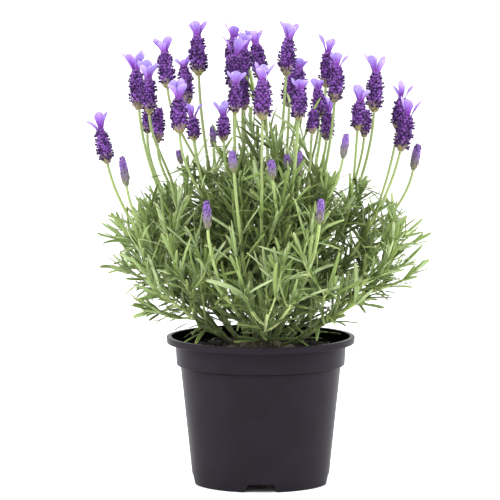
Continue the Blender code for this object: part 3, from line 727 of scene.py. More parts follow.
def main_stem(end, arrive_axis, flowering):
    """A stem that rises from the crown, spreads outwards, then bends to its end's direction."""
    root_share = FLOWERING_ROOT_SHARE if flowering else LEAFY_ROOT_SHARE
    inward = root_share * CROWN_RADIUS / WIDEST_REACH
    root = np.array([end[0] * inward, end[1] * inward, 0.0])
    root[2] = crown_height(max(np.hypot(*root[:2]) - 2 * STEM_HALF_WIDTH, 0)) + TOUCH_GAP
    rise = end - root
    leave = rise * (START_SPREAD, START_SPREAD, 1.0)
    pull = rise[2] / arrive_axis[2] if flowering else np.linalg.norm(rise)
    guide = unit(np.cross(UP, rise))
    widths = (STEM_HALF_WIDTH, STALK_HALF_WIDTH)
    return Twig(root, end, leave, arrive_axis * pull, guide, widths)


def forked(main, joint, end, arrive_axis):
    """A twig that leaves the free side of a joint nearest to its end, and bends up to it."""
    place, stem, across, along = (part[0] for part in main.frames(main.shares[joint : joint + 1]))
    outs = [across, along, -across, -along]
    free = [side for side in range(4) if (joint, side) not in main.taken]
    side = max(free, key=lambda number: (end - place) @ outs[number])
    main.taken.add((joint, side))
    start = place + outs[side] * main.half_widths(main.shares[joint])
    reach = np.linalg.norm(end - start)
    leave = (outs[side] * FORK_OUT + stem * FORK_UP) * reach
    guide = np.cross(stem, outs[side])
    widths = (STALK_HALF_WIDTH, STALK_HALF_WIDTH)
    return Twig(start, end, leave, arrive_axis * reach, guide, widths)


def flowering_twigs(spikes):
    """The main stalk to the first spike, and a fork for each of the others."""
    first = spikes[0]
    end = first.foot - first.axis * TOUCH_GAP
    main = main_stem(end, first.axis, True)
    main.lay_joints(JOINT_STEP, main.reach() - BARE_STALK, JOINT_STEP)
    twigs = [main]
    for spike in spikes[1:]:
        heights = main.points(main.shares)[:, 2]
        joint = int(np.argmin(abs(heights - (spike.foot[2] - FORK_BELOW_TIP))))
        twig = forked(main, joint, spike.foot - spike.axis * TOUCH_GAP, spike.axis)
        twig.lay_joints(JOINT_STEP, twig.reach() - BARE_STALK, JOINT_STEP)
        twigs.append(twig)
    return twigs


def leafy_end(degrees, reach, height):
    angle = np.radians(degrees)
    out = np.array([np.cos(angle), np.sin(angle), 0.0])
    return out * reach * MM + UP * (SOIL_TOP + height * MM), unit(out + UP * 0.5)


def leafy_twigs(specs):
    """The main leafy stem, and a twig forked off each of its third and fourth joints."""
    end, axis = leafy_end(*specs[0])
    main = main_stem(end, axis, False)
    main.lay_joints(JOINT_STEP, main.reach() - JOINT_STEP / 2, JOINT_STEP)
    twigs = [main]
    for joint, spec in zip((2, 3), specs[1:]):
        end, axis = leafy_end(*spec)
        twig = forked(main, joint, end, axis)
        twig.lay_joints(JOINT_STEP, twig.reach() - JOINT_STEP / 2, JOINT_STEP)
        twigs.append(twig)
    return twigs


heads = {name: read_head(node) for name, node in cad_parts.items() if "head" in name}
shoots = {}
for name in sorted(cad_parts):
    kind, _, label = name.partition("_shoot_")
    if kind == "flowering":
        spikes = [heads[head] for head in sorted(heads) if head[12:14] == label]
        spikes += [young_spike(*spec) for spec in YOUNG_SPIKES.get(label, [])]
        shoots[name] = flowering_twigs(spikes)
    elif kind == "leafy":
        shoots[name] = leafy_twigs(LEAFY_TWIGS[label])


# ---- Stems and stalks ---------------------------------------------------------------------------
# Square stems with rounded ridges, as all of this family have: woody and brown at the foot, green
# among the leaves, and pale yellow-green on the bare stalks under the flowers.

STEM_FULLNESS = 1.3
STEM_ROWS = 26
STEM_RING = 8
JOINT_SWELL = 0.22
JOINT_SWELL_REACH = 1.6 * MM
STEM_COLOURS = (
    (0.0, (0.060, 0.042, 0.024)),
    (0.08, (0.15, 0.16, 0.05)),
    (0.2, (0.37, 0.45, 0.15)),
    (0.5, (0.30, 0.38, 0.12)),
    (0.75, (0.19, 0.25, 0.08)),
    (1.0, (0.17, 0.21, 0.08)),
)

# The height above the soil at which a stem has the last of its colours.
STEM_COLOUR_RISE = 200 * MM


def square_tube(twig, shares):
    """A stem: a square of rounded corners and slightly hollow sides, carried along the path.

    The ring's radius at each angle is half the width divided by the fourth root of the sum of the
    fourth powers of cosine and sine. Joints swell it a little.
    """
    places, _, across, along = twig.frames(shares)
    half = twig.half_widths(shares)
    if len(twig.shares):
        gap = abs(np.asarray(shares)[:, None] - twig.shares).min(axis=1) * twig.reach()
        half = half * (1 + JOINT_SWELL * np.exp(-((gap / JOINT_SWELL_REACH) ** 2)))
    angle = full_turn(STEM_RING)
    c, s = np.cos(angle), np.sin(angle)
    size = STEM_FULLNESS / (abs(c) ** 4 + abs(s) ** 4) ** 0.25
    ring = (size * c)[:, None] * across[:, None] + (size * s)[:, None] * along[:, None]
    return places[:, None] + ring * half[:, None, None]


def stem_finish():
    """A ridged green stem: brown wood at its foot, paler and yellower with height."""
    material, start = new_finish("lavender_stem")
    place = object_place(start)
    height = attribute(start, "place")
    tone = attribute(start, "tone")
    ridges = start.noise(grain_map(start).stretched(26.0, 240.0, 1.0), 1.0, 2.0)
    cloud = start.noise(place, 160.0)
    by_height = (height + (cloud - 0.5) * 0.22).ramp(*STEM_COLOURS)
    colour = (ridges.within(0.35, 0.7) * 0.35).mix(by_height, (0.44, 0.50, 0.26))
    colour = (tone * 0.3).mix(colour, (0.24, 0.37, 0.09))
    relief = start.bump(ridges, 0.15 * MM)
    return covered(material, start.skin(colour, ridges * 0.2 + 0.45, 0.35, relief, (0.15, 0.5)))


def add_stems(surfaces, twigs, chance):
    shares = np.linspace(0, 1, STEM_ROWS)
    for twig in twigs:
        tube = square_tube(twig, shares)[None]
        height = (twig.points(shares)[:, 2] - SOIL_TOP) / STEM_COLOUR_RISE
        length = shares * twig.reach() * 10
        around = np.linspace(0, 1, STEM_RING + 1)
        surfaces.add(tube, 0, around, length, chance.uniform(0, 1), height[None])


stem_green = stem_finish()


# ---- Leaves -------------------------------------------------------------------------------------
# Narrow green leaves in pairs at each joint, each pair across the last, with a smaller one in every
# axil. They are felted, and grooved over the midrib.

LEAF_LENGTH = 33.0 * MM
LEAF_HALF_WIDTH = 1.6 * MM
LEAF_ROWS = np.array([0.0, 0.07, 0.22, 0.42, 0.62, 0.80, 0.93, 1.0])
VISUAL_JOINT_STEP = 13.0 * MM
SIDE_JOINT_STEP = 9.5 * MM
LOWEST_LEAF = 14 * MM
BARE_TIP = 2 * MM
AXIL_LEAVES = 1
AXIL_LIFT = 5 * MM
TIP_LEAVES = 6
TIP_LEAF_TURN = 2.4
TIP_LEAF_DROP = 4 * MM

# The least and most of a leaf's pitch off its stem, in radians, and of its share of full length.
LEAF_PITCHES = (0.55, 1.05)
LEAF_SIZES = (0.7, 1.15)
AXIL_PITCHES = (0.2, 0.85)
AXIL_SIZES = (0.3, 0.62)
TIP_PITCHES = (0.05, 0.42)
TIP_SIZES = (0.4, 0.85)
LOW_SIZES = (0.45, 0.9)

LOW_LEAVES = 16
LOW_STRETCH = (12 * MM, 60 * MM)
SIDE_REACH = (24, 56)
SIDE_FOOT = 8 * MM
SIDE_TIP = 3 * MM
SIDE_HALF_WIDTHS = (0.6 * MM, 0.45 * MM)
DOME_HEIGHT = 154.0 * MM
DOME_FALL = 5.2

# How wide the foliage spreads, in millimetres, at heights above the ground.
SPREAD_HEIGHTS = (100, 118, 135, 165, 190, 205, 230, 250, 270)
SPREAD_RADII = (84, 96, 114, 128, 140, 134, 112, 85, 48)
SPREAD_DEPTH = 0.84

# Up to this height over the rim, leaves are painted darker the lower they start, as painted shade by
# the rim.
SHADE_RISE = 40 * MM

# Side twigs end this far inside the spread and over the rim. Leaves keep off the rim, the soil and
# the spikes by these, and hang no lower than this outside the pot.
TWIG_MARGIN = 10 * MM
TWIG_RISE = 6 * MM
RIM_INSIDE = 13 * MM
RIM_OUTSIDE = 2.5 * MM
SOIL_MARGIN = 2 * MM
LOWEST_HANG = 12 * MM
SPIKE_MARGIN = 0.5 * MM

# Over the rim, between these heights, a fifth of the leaves are left out at first and then none.
SPARSE_RISE = (4 * MM, 30 * MM)
SPARSE_SHARES = (0.2, 0.0)

FOLIAGE_SEED = 500

# The chance that a joint has a side twig, in each round of them.
SIDE_CHANCES = {"flowering": (0.7, 0.3), "leafy": (0.95,)}

LEAF_COLOURS = (
    (0.0, (0.018, 0.028, 0.003)),
    (0.25, (0.060, 0.105, 0.009)),
    (0.55, (0.17, 0.26, 0.036)),
    (0.8, (0.31, 0.42, 0.14)),
    (1.0, (0.50, 0.61, 0.35)),
)


def blades(roots, aims, faces, lengths, halves, bends, twists, rows, widths, ring):
    """Thin closed blades, one for each root.

    The middle line is an arc: it leaves along the aim and turns away from the blade's upper side
    by the bend, in radians. The ring gives each point's place across, as a share of the half
    width, and its height over the middle line, which both scale with the outline's width at each
    row. The twist turns the rings about the middle line towards the tip.
    """
    rows = np.asarray(rows)[None, :, None]
    bend = np.where(abs(bends) < 0.02, 0.02, bends)[:, None, None]
    length = lengths[:, None, None]
    aim, face = aims[:, None], faces[:, None]
    middle = roots[:, None] + length * (
        aim * np.sin(bend * rows) / bend - face * (1 - np.cos(bend * rows)) / bend
    )
    normal = face * np.cos(bend * rows) + aim * np.sin(bend * rows)
    across = np.cross(aims, faces)[:, None]
    turn = twists[:, None, None] * rows
    side = across * np.cos(turn) + normal * np.sin(turn)
    over = normal * np.cos(turn) - across * np.sin(turn)
    size = halves[:, None, None] * np.asarray(widths)[None, :, None]
    beside, above = np.asarray(ring).T
    offset = side[:, :, None] * (size * beside)[..., None]
    offset = offset + over[:, :, None] * (size * above)[..., None]
    return middle[:, :, None] + offset


def ring_of(top, under, crown, groove, thickness):
    """A blade's cross-section: points over the top from edge to edge, then back underneath.

    The top rises to a crown halfway out and falls to a groove over the midrib, and the underside
    lies a thickness below it.
    """
    x = np.linspace(-1, 1, top)
    z = crown * (1 - x**2) - (crown + groove) * np.exp(-((x / 0.28) ** 2))
    back = np.linspace(1, -1, under + 2)[1:-1]
    below = crown * (1 - back**2) * 0.4 - thickness
    around = np.concatenate([(x + 1) / 2, 1 + (1 - back) / 2, [2.0]])
    section = np.concatenate([np.stack([x, z], 1), np.stack([back, below], 1)])
    return section, around


def leaf_outline(rows):
    """A strap-shaped leaf: it widens quickly, stays wide, and closes to a short point."""
    width = (rows + 0.02) ** 0.36 * (1.02 - rows) ** 0.32
    return width / width.max()


def joint_leaves(twig, shares, chance, lightness):
    """Where a twig's leaves start, and how they point: two at each joint and those in their axils."""
    places, stems, acrosses, alongs = twig.frames(shares)
    count = len(shares)
    on_side = 1 + AXIL_LEAVES
    side = np.tile(np.repeat([1.0, -1.0], on_side), count)
    first = np.tile(np.arange(on_side) == 0, 2 * count)
    joint = np.repeat(np.arange(count), 2 * on_side)
    flip = (joint % 2 == 0)[:, None]
    pair = np.where(flip, acrosses[joint], alongs[joint]) * side[:, None]
    other = np.where(flip, alongs[joint], acrosses[joint])
    stem = stems[joint]
    number = len(joint)
    turn = np.where(first, chance.normal(0, 0.25, number), chance.uniform(-1.1, 1.1, number))
    pitches = [chance.uniform(*bounds, number) for bounds in (LEAF_PITCHES, AXIL_PITCHES)]
    pitch = np.where(first, *pitches)
    out = swung(pair, other, turn)
    aim, face = aim_and_face(stem, out, pitch)
    aim = unit(aim + UP * chance.uniform(0.0, 0.35, number)[:, None])
    face = unit(face - aim * (aim * face).sum(axis=1, keepdims=True))
    sizes = [chance.uniform(*bounds, number) for bounds in (LEAF_SIZES, AXIL_SIZES)]
    size = np.where(first, *sizes)
    lift = np.where(first, 0.0, chance.uniform(0.0, AXIL_LIFT, number))
    root = places[joint] + out * (twig.half_widths(shares)[joint] * 0.6)[:, None]
    root = root + aim * lift[:, None]
    # Leaves deep in the foliage and low by the rim are painted darker: painted shade, added to their
    # age.
    depth = 1 - np.hypot(root[:, 0], root[:, 1] / SPREAD_DEPTH) / spread_at(root[:, 2])
    low = np.clip((POT_TOP + SHADE_RISE - root[:, 2]) / SHADE_RISE, 0, 1)
    age_and_shade = np.clip(0.25 + 1.5 * depth + 1.1 * low - lightness * np.linspace(0, 1, count)[joint], 0, 1)
    return np.concatenate([root, aim, face, size[:, None], age_and_shade[:, None]], axis=1)


def tip_leaves(twig, chance):
    """The young leaves at a twig's end, close round its direction."""
    place, stem, across, along = (part[0] for part in twig.frames([1.0]))
    pitch = chance.uniform(*TIP_PITCHES, TIP_LEAVES)
    out = swung(across, along, np.arange(TIP_LEAVES) * TIP_LEAF_TURN)
    aim, face = aim_and_face(stem, out, pitch)
    root = place - stem * chance.uniform(0, TIP_LEAF_DROP, TIP_LEAVES)[:, None]
    size = chance.uniform(*TIP_SIZES, TIP_LEAVES)[:, None]
    return np.concatenate([root, aim, face, size, np.full((TIP_LEAVES, 1), 0.1)], axis=1)


def side_twigs(twig, chance, share):
    """Short leafy twigs off a share of a twig's joints, bending upwards."""
    made = []
    places, stems, acrosses, alongs = twig.frames(twig.shares)
    for joint in range(1, len(twig.shares)):
        if chance.uniform() > share or not in_dome(places[joint]):
            continue
        angle = chance.uniform(0, 2 * np.pi)
        out = acrosses[joint] * np.cos(angle) + alongs[joint] * np.sin(angle)
        reach = chance.uniform(*SIDE_REACH) * MM
        way = unit(out * 0.6 + stems[joint] * 0.55 + UP * chance.uniform(0.2, 0.8))
        end = places[joint] + way * reach
        if not has_room(end):
            continue
        arrive = unit(way + UP * 0.5) * reach
        leave = (out * FORK_OUT + stems[joint] * FORK_UP) * reach
        guide = np.cross(stems[joint], out)
        child = Twig(places[joint], end, leave, arrive, guide, SIDE_HALF_WIDTHS)
        child.lay_joints(SIDE_FOOT, reach - SIDE_TIP, SIDE_JOINT_STEP)
        made.append(child)
    return made


def low_leaves(twig, chance):
    """Leaves on a stem's foot, out over the soil or up into the shade: most dark, a few pale."""
    places = twig.points(chance.uniform(*LOW_STRETCH, LOW_LEAVES) / twig.reach())
    outward = unit(places * (1, 1, 0) + 1e-6)
    sideways = np.cross(UP, outward)
    aim = outward + sideways * chance.normal(0, 1.0, LOW_LEAVES)[:, None]
    aim = unit(aim + UP * chance.uniform(-0.35, 1.1, LOW_LEAVES)[:, None])
    face = unit(UP - aim * aim[:, 2:])
    size = chance.uniform(*LOW_SIZES, LOW_LEAVES)[:, None]
    # Mostly near 1: dark leaves, partly old and partly painted shade under the foliage.
    age_and_shade = chance.power(3.0, (LOW_LEAVES, 1))
    return np.concatenate([places, aim, face, size, age_and_shade], axis=1)


def has_room(end):
    """Whether a twig may end at a place: well inside the foliage's spread, and over the rim."""
    out = np.hypot(end[0], end[1] / SPREAD_DEPTH)
    return out < spread_at(end[2]) - TWIG_MARGIN and end[2] > POT_TOP + TWIG_RISE


def in_dome(place):
    """Whether a place is inside the dome of foliage over the pot."""
    height = DOME_HEIGHT - DOME_FALL * (place[..., 0] ** 2 + place[..., 1] ** 2)
    return place[..., 2] < SOIL_TOP + height


def spread_at(height):
    """How far out the foliage goes at a height."""
    return np.interp(height / MM, SPREAD_HEIGHTS, SPREAD_RADII) * MM


def leaf_fits(leaf):
    """Whether a leaf's middle line keeps over the rim, off the spikes and inside the spread."""
    root, aim, size = leaf[:, 0:3], leaf[:, 3:6], leaf[:, 9:10]
    shares = np.linspace(0.15, 1, 6)[:, None, None]
    line = root + aim * size * LEAF_LENGTH * shares
    out = np.hypot(line[..., 0], line[..., 1])
    height = line[..., 2]
    at_rim = (out > RIM_RADIUS - RIM_INSIDE) & (out < RIM_RADIUS + RIM_OUTSIDE)
    clear = ~(at_rim & (height < POT_TOP + RIM_OUTSIDE))
    clear &= height > np.where(out < RIM_RADIUS, SOIL_TOP + SOIL_MARGIN, SOIL_TOP - LOWEST_HANG)
    deep = np.hypot(line[..., 0], line[..., 1] / SPREAD_DEPTH)
    clear &= deep < spread_at(height)
    for spike in every_spike:
        offset = line - spike.foot
        up = np.clip(offset @ spike.axis, 0, spike.length + spike.ear)
        gap = np.linalg.norm(offset - up[..., None] * spike.axis, axis=-1)
        clear &= gap > spike.half_width + SPIKE_MARGIN
    return clear.all(axis=0)


def leaf_finish():
    """A felted green leaf: darker when old, and painted darker as shade deep in the bush and low by
    the rim; pale along its midrib and edges and underneath.
    """
    material, start = new_finish("lavender_leaf")
    place = object_place(start)
    tone = attribute(start, "tone")
    age_and_shade = attribute(start, "place")
    grain = grain_map(start)
    around, along = grain.part(0), grain.part(1)
    from_middle = (around - 0.5).maths("ABSOLUTE")
    under = around.maths("GREATER_THAN", 1.0)
    midrib = 1 - from_middle.within(0.02, 0.09)
    edge = from_middle.within(0.36, 0.5) * (1 - under)
    felt = start.noise(place, 2600.0, 2.0)
    cloud = start.noise(place, 210.0)
    # The lightness mixes each leaf's tone and age with painted shade deep in the bush and low by the
    # rim.
    lightness = tone * (0.6 - age_and_shade * 0.3) + (1 - age_and_shade) * 0.68 + (cloud - 0.5) * 0.3 - 0.12
    colour = (felt.within(0.55, 0.85) * 0.2).mix(lightness.ramp(*LEAF_COLOURS), (0.38, 0.50, 0.16))
    colour = (midrib * 0.45 + edge * 0.35).mix(colour, (0.40, 0.50, 0.17))
    colour = (under * 0.45).mix(colour, (0.28, 0.38, 0.12))
    colour = (along.within(0.9, 1.0) * tone * 0.6).mix(colour, (0.42, 0.36, 0.15))
    relief = start.bump(felt + midrib * 1.5, 0.12 * MM)
    skin = start.skin(colour, felt * 0.2 + 0.38, 0.35, relief, (0.1, 0.4))
    passed = colour.node("ShaderNodeGamma", (), {0: colour, 1: 0.72})
    return covered(material, start.lit_through(skin, passed, 0.27))


def add_leaves(surfaces, leaf, chance):
    """Turn rows of root, aim, face, size, and age with painted shade into blades."""
    sparse = np.interp(leaf[:, 2], POT_TOP + np.array(SPARSE_RISE), SPARSE_SHARES)
    leaf = leaf[leaf_fits(leaf) & (chance.uniform(0, 1, len(leaf)) > sparse)]
    root, aim, face, size, age_and_shade = np.split(leaf, (3, 6, 9, 10), axis=1)
    number = len(leaf)
    size, age_and_shade = size[:, 0], age_and_shade[:, 0]
    bend = chance.normal(0.22, 0.28, number)
    twist = chance.normal(0, 0.5, number)
    half = LEAF_HALF_WIDTH * (0.55 + 0.45 * size) * chance.uniform(0.8, 1.15, number)
    section, around = ring_of(5, 1, 0.16, 0.10, 0.22)
    points = blades(
        root, aim, face, size * LEAF_LENGTH, half, bend, twist, LEAF_ROWS,
        leaf_outline(LEAF_ROWS), section
    )
    tone = chance.uniform(0, 1, number)
    surfaces.add(points, 1, around, LEAF_ROWS, tone, age_and_shade)


leaf_green = leaf_finish()
every_spike = list(heads.values())
every_spike += [young_spike(*spec) for specs in YOUNG_SPIKES.values() for spec in specs]

for number, (name, twigs) in enumerate(shoots.items()):
    chance = np.random.default_rng(FOLIAGE_SEED + number)
    kind = name.partition("_shoot_")[0]
    flowering = kind == "flowering"
    surfaces = Surfaces()
    leaves = []
    sides = []
    for twig in twigs:
        for share in SIDE_CHANCES[kind]:
            sides += side_twigs(twig, chance, share)
    add_stems(surfaces, twigs + sides, chance)
    for twig in twigs:
        bare = BARE_STALK * 0.85 if flowering else BARE_TIP
        last = 1 - bare / twig.reach()
        steps = max(int(twig.reach() * last / VISUAL_JOINT_STEP), 2)
        shares = np.linspace(LOWEST_LEAF / twig.reach(), last, steps)
        shares = shares[in_dome(twig.points(shares))]
        if len(shares):
            leaves.append(joint_leaves(twig, shares, chance, 0.7))
            leaves.append(low_leaves(twig, chance))
        if not flowering:
            leaves.append(tip_leaves(twig, chance))
    for twig in sides:
        leaves.append(joint_leaves(twig, twig.shares, chance, 1.0))
        leaves.append(tip_leaves(twig, chance))
    add_leaves(surfaces, np.concatenate(leaves), chance)
    mesh = surfaces.mesh(name + "_growth", stem_green, leaf_green)
    show(mesh, name + "_growth", "foliage", name)


# ---- Flower heads and young spikes --------------------------------------------------------------
# A dense spike of cupped, veined bracts with a small, nearly black flower in most of their axils,
# and on top a tuft of long papery bracts, the ears. Young spikes are still closed and have no ears.

BRACT_ROWS = np.array([0.0, 0.25, 0.55, 0.82, 1.0])
BRACT_SPACING = 2.25 * MM
BRACTS_ROUND = 10
FLOWERING_SHARE = 0.62
FLOWER_RADII = np.array([0.45, 0.70, 1.0, 0.80, 0.15])
FLOWER_HEIGHTS = np.array([0.0, 0.40, 0.80, 1.0, 0.86])
EAR_ROWS = np.linspace(0, 1, 11)
EAR_HALF_WIDTH = 3.9 * MM
LEAST_EARS = 3
MOST_EARS = 5
EAR_RIPPLE = 0.55 * MM
LEAST_EAR = 2 * MM
CORE_SIDES = 10
CORE_SHARE = 0.74
FLOWER_SIDES = 6
HEAD_SEED = 900
YOUNG_SPIKE_SEED = 2000

# Each kind of bract: its length, its half width, its lean, the gap between tiers and how many
# stand round the spike.
OPEN_BRACTS = (3.7 * MM, 1.65 * MM, 0.72, BRACT_SPACING, BRACTS_ROUND)
CLOSED_BRACTS = (3.6 * MM, 1.4 * MM, 0.42, 2.0 * MM, 8)

EAR_COLOURS = (
    (0.0, (0.10, 0.014, 0.20)),
    (0.35, (0.30, 0.055, 0.50)),
    (0.6, (0.43, 0.22, 0.74)),
    (0.95, (0.56, 0.46, 0.90)),
)


def spike_radius(share):
    """The spike's radius as a share of its widest: rounded at the foot, and narrower on top."""
    places = (0, 0.06, 0.2, 0.45, 0.7, 0.88, 1)
    return np.interp(share, places, (0.3, 0.66, 0.92, 1, 0.92, 0.7, 0.34))


def around_axis(axis, angles):
    """Directions square to an axis, at angles round it."""
    first = unit(np.cross(UP, axis) + np.array([1e-6, 0, 0]))
    return swung(first, np.cross(axis, first), angles)


def bract_outline(rows):
    """A broad cup: it widens to three fifths of its length, and closes to a short tip."""
    return np.sqrt(np.clip(1 - ((rows - 0.5) / 0.56) ** 2, 0.02, 1))


def ear_outline(rows):
    """A spoon: a narrow claw that widens to three quarters of its length and ends round."""
    spoon = 0.40 + 0.60 * np.clip(rows / 0.74, 0, 1) ** 2.0
    tip = np.sqrt(np.clip(1 - np.clip((rows - 0.74) / 0.27, 0, 1) ** 2.4, 0.0025, 1))
    return spoon * tip


def streaks(grain, tone, round_scale, length_scale, detail):
    """Fine veins drawn out along a bract, different for each tone."""
    shift = grain.node("ShaderNodeCombineXYZ", (), {2: tone * 40})
    drawn = grain.stretched(round_scale, length_scale, 1.0)
    place = grain.node("ShaderNodeVectorMath", {"operation": "ADD"}, {0: drawn, 1: shift})
    return grain.noise(place, 1.0, detail)


def bract_finish(name, deep, bright, edge_colour, foot_colour, foot_reach):
    """A felted bract: streaked by veins, lighter at the edge and the colour of straw low down."""
    material, start = new_finish(name)
    place = object_place(start)
    tone = attribute(start, "tone")
    height = attribute(start, "place")
    grain = grain_map(start)
    around, along = grain.part(0), grain.part(1)
    from_middle = (around - 0.5).maths("ABSOLUTE")
    veins = streaks(grain, tone, 17.0, 1.6, 1.0)
    felt = start.noise(place, 2400.0, 2.0)
    cloud = start.noise(place, 260.0)
    colour = (tone * 0.9 + (veins - 0.5) * 1.1 - 0.05).mix(deep, bright)
    edge = from_middle.within(0.3, 0.5) * along.within(0.35, 1.0)
    colour = (edge * 0.55).mix(colour, edge_colour)
    foot = 1 - (height + (cloud - 0.5) * 0.3).within(foot_reach * 0.4, foot_reach * 1.5)
    low = (1 - along.within(0.1, 0.8)) * 0.5 + 0.5
    colour = (foot * low).mix(colour, foot_colour)
    colour = (felt.within(0.55, 0.85) * 0.15).mix(colour, (0.30, 0.18, 0.46))
    relief = start.bump(veins + felt * 0.6, 0.15 * MM)
    return covered(material, start.skin(colour, felt * 0.25 + 0.5, 0.2, relief, (0.08, 0.4)))


def flower_finish():
    """The small flowers: blackish violet tubes with a velvety violet rim."""
    material, start = new_finish("blackish_flower")
    place = object_place(start)
    tone = attribute(start, "tone")
    along = grain_map(start).part(1)
    felt = start.noise(place, 1800.0, 2.0)
    rim = along.within(0.35, 0.55) * (1 - along.within(0.55, 0.8))
    colour = tone.mix((0.010, 0.002, 0.022), (0.040, 0.008, 0.090))
    colour = (rim * (tone * 0.5 + 0.2)).mix(colour, (0.16, 0.055, 0.30))
    relief = start.bump(felt, 0.12 * MM)
    return covered(material, start.skin(colour, felt * 0.3 + 0.4, 0.15, relief))


def ear_finish():
    """A papery lilac ear: magenta at its claw, paler to the tip, with fine branching veins."""
    material, start = new_finish("lilac_ear")
    place = object_place(start)
    tone = attribute(start, "tone")
    grain = grain_map(start)
    along = grain.part(1)
    veins = streaks(grain, tone, 16.0, 1.3, 2.0).within(0.45, 0.68)
    cloud = start.noise(place, 300.0)
    outwards = along + (cloud - 0.5) * 0.25 + (tone - 0.5) * 0.2
    paler = outwards.ramp(*EAR_COLOURS)
    colour = (veins * (1 - along * 0.5) * 0.75).mix(paler, (0.22, 0.05, 0.44))
    relief = start.bump(veins, 0.12 * MM)
    skin = start.skin(colour, cloud * 0.2 + 0.45, 0.3, relief, (0.2, 0.5))
    return covered(material, start.lit_through(skin, colour, 0.4))


def add_core(surfaces, spike, tone):
    """The spike's body, which fills the gaps between the bracts."""
    shares = np.linspace(0, 1, 9)
    radius = spike_radius(shares) * spike.half_width * CORE_SHARE
    ring = around_axis(spike.axis, full_turn(CORE_SIDES))
    middle = spike.foot + spike.axis * (shares * spike.length)[:, None]
    points = middle[:, None] + ring * radius[:, None, None]
    around = np.linspace(0, 1, CORE_SIDES + 1)
    surfaces.add(points[None], 0, around, shares, tone, shares[None])


def axil_rows(spike, chance, spacing, around):
    """Where each bract starts: tiers up the spike, each turned half a step from the last."""
    tiers = max(int(round(spike.length / spacing)), 4)
    share = (np.arange(tiers) + 0.15) / tiers
    share = np.repeat(share, around)
    number = len(share)
    angle = np.tile(np.arange(around), tiers) + 0.5 * np.repeat(np.arange(tiers) % 2, around)
    angle = angle * 2 * np.pi / around + chance.normal(0, 0.09, number)
    share = np.clip(share + chance.normal(0, 0.012, number), 0, 0.97)
    out = around_axis(spike.axis, angle)
    radius = spike_radius(share) * spike.half_width
    place = spike.foot + spike.axis * (share * spike.length)[:, None]
    return share, out, place, radius


def add_bracts(surfaces, spike, chance, length, half, lean, spacing, around):
    """Cupped bracts: each leaves the body, leans out, and curls back in over the one above."""
    share, out, place, radius = axil_rows(spike, chance, spacing, around)
    number = len(share)
    pitch = chance.normal(lean, 0.12, number) * (1 - 0.4 * share)
    aim, face = aim_and_face(spike.axis, out, pitch)
    root = place + out * (radius * 0.66)[:, None]
    size = chance.uniform(0.85, 1.15, number) * np.interp(share, (0, 0.15, 1), (0.75, 1, 0.9))
    section, ring = ring_of(5, 1, -0.42, 0.0, 0.16)
    points = blades(
        root, aim, face, size * length, size * half, chance.normal(-0.55, 0.15, number),
        chance.normal(0, 0.15, number), BRACT_ROWS, bract_outline(BRACT_ROWS), section
    )
    tone = chance.uniform(0, 1, number)
    surfaces.add(points, 0, ring, BRACT_ROWS, tone, share)


def add_flowers(surfaces, spike, chance, spacing, around):
    """Small open tubes that look out between the bracts: a flared rim round a dark throat."""
    rows = axil_rows(spike, chance, spacing, around)
    flowering = chance.uniform(0, 1, len(rows[0])) < FLOWERING_SHARE
    open_ones = flowering & (rows[0] > 0.10) & (rows[0] < 0.93)
    share, out, place, radius = (row[open_ones] for row in rows)
    number = len(share)
    aim = unit(out + spike.axis * chance.uniform(0.1, 0.7, number)[:, None])
    first = unit(np.cross(aim, spike.axis))
    second = np.cross(aim, first)
    length = chance.uniform(1.7, 2.9, number) * MM
    size = chance.uniform(0.75, 1.15, number) * MM
    root = place + out * (radius * 0.80)[:, None]
    middle = root[:, None] + aim[:, None] * (length[:, None] * FLOWER_HEIGHTS)[..., None]
    ring = swung(first[:, None], second[:, None], full_turn(FLOWER_SIDES))
    reach = (size[:, None] * FLOWER_RADII)[:, :, None, None]
    lobes = chance.uniform(0.8, 1.2, (number, 1, FLOWER_SIDES, 1))
    points = middle[:, :, None] + ring[:, None] * reach * lobes
    tone = chance.uniform(0, 1, number)
    along = np.linspace(0, 1, len(FLOWER_RADII))
    surfaces.add(points, 1, np.linspace(0, 1, FLOWER_SIDES + 1), along, tone, share)


def add_ears(surfaces, spike, chance):
    """Three to five ears that leave the spike's top, splay out and ripple at their edges."""
    count = int(chance.integers(LEAST_EARS, MOST_EARS + 1))
    angle = full_turn(count) + chance.uniform(0, 6.28)
    angle = angle + chance.normal(0, 0.25, count)
    out = around_axis(spike.axis, angle)
    aim, face = aim_and_face(spike.axis, out, chance.uniform(0.02, 0.20, count))
    root = spike.foot + spike.axis * spike.length * 0.9 + out * spike.half_width * 0.2
    length = (spike.ear * 1.32 + spike.length * 0.12) * chance.uniform(0.85, 1.12, count)
    half = EAR_HALF_WIDTH * chance.uniform(0.95, 1.2, count)
    section, ring = ring_of(7, 5, -0.10, 0.03, 0.17)
    points = blades(
        root, aim, face, length, half, chance.normal(0.58, 0.16, count),
        chance.normal(0, 0.15, count), EAR_ROWS, ear_outline(EAR_ROWS), section
    )
    phase = chance.uniform(0, 6.28, count)[:, None]
    wave = np.sin(EAR_ROWS * 9.0 + phase) * EAR_RIPPLE * EAR_ROWS
    beside = section[:, 0]
    rise = wave[:, :, None] * beside**2 * np.sign(beside)
    points += rise[..., None] * face[:, None, None]
    surfaces.add(points, 2, ring, EAR_ROWS, chance.uniform(0, 1, count), 1.0)


purple_bract = bract_finish(
    "purple_bract", (0.020, 0.002, 0.046), (0.16, 0.032, 0.30), (0.33, 0.14, 0.56),
    (0.27, 0.25, 0.07), 0.20
)
closed_bract = bract_finish(
    "closed_bract", (0.050, 0.014, 0.13), (0.22, 0.10, 0.42), (0.32, 0.20, 0.50),
    (0.17, 0.18, 0.075), 0.50
)
dark_flower = flower_finish()
lilac_ear = ear_finish()

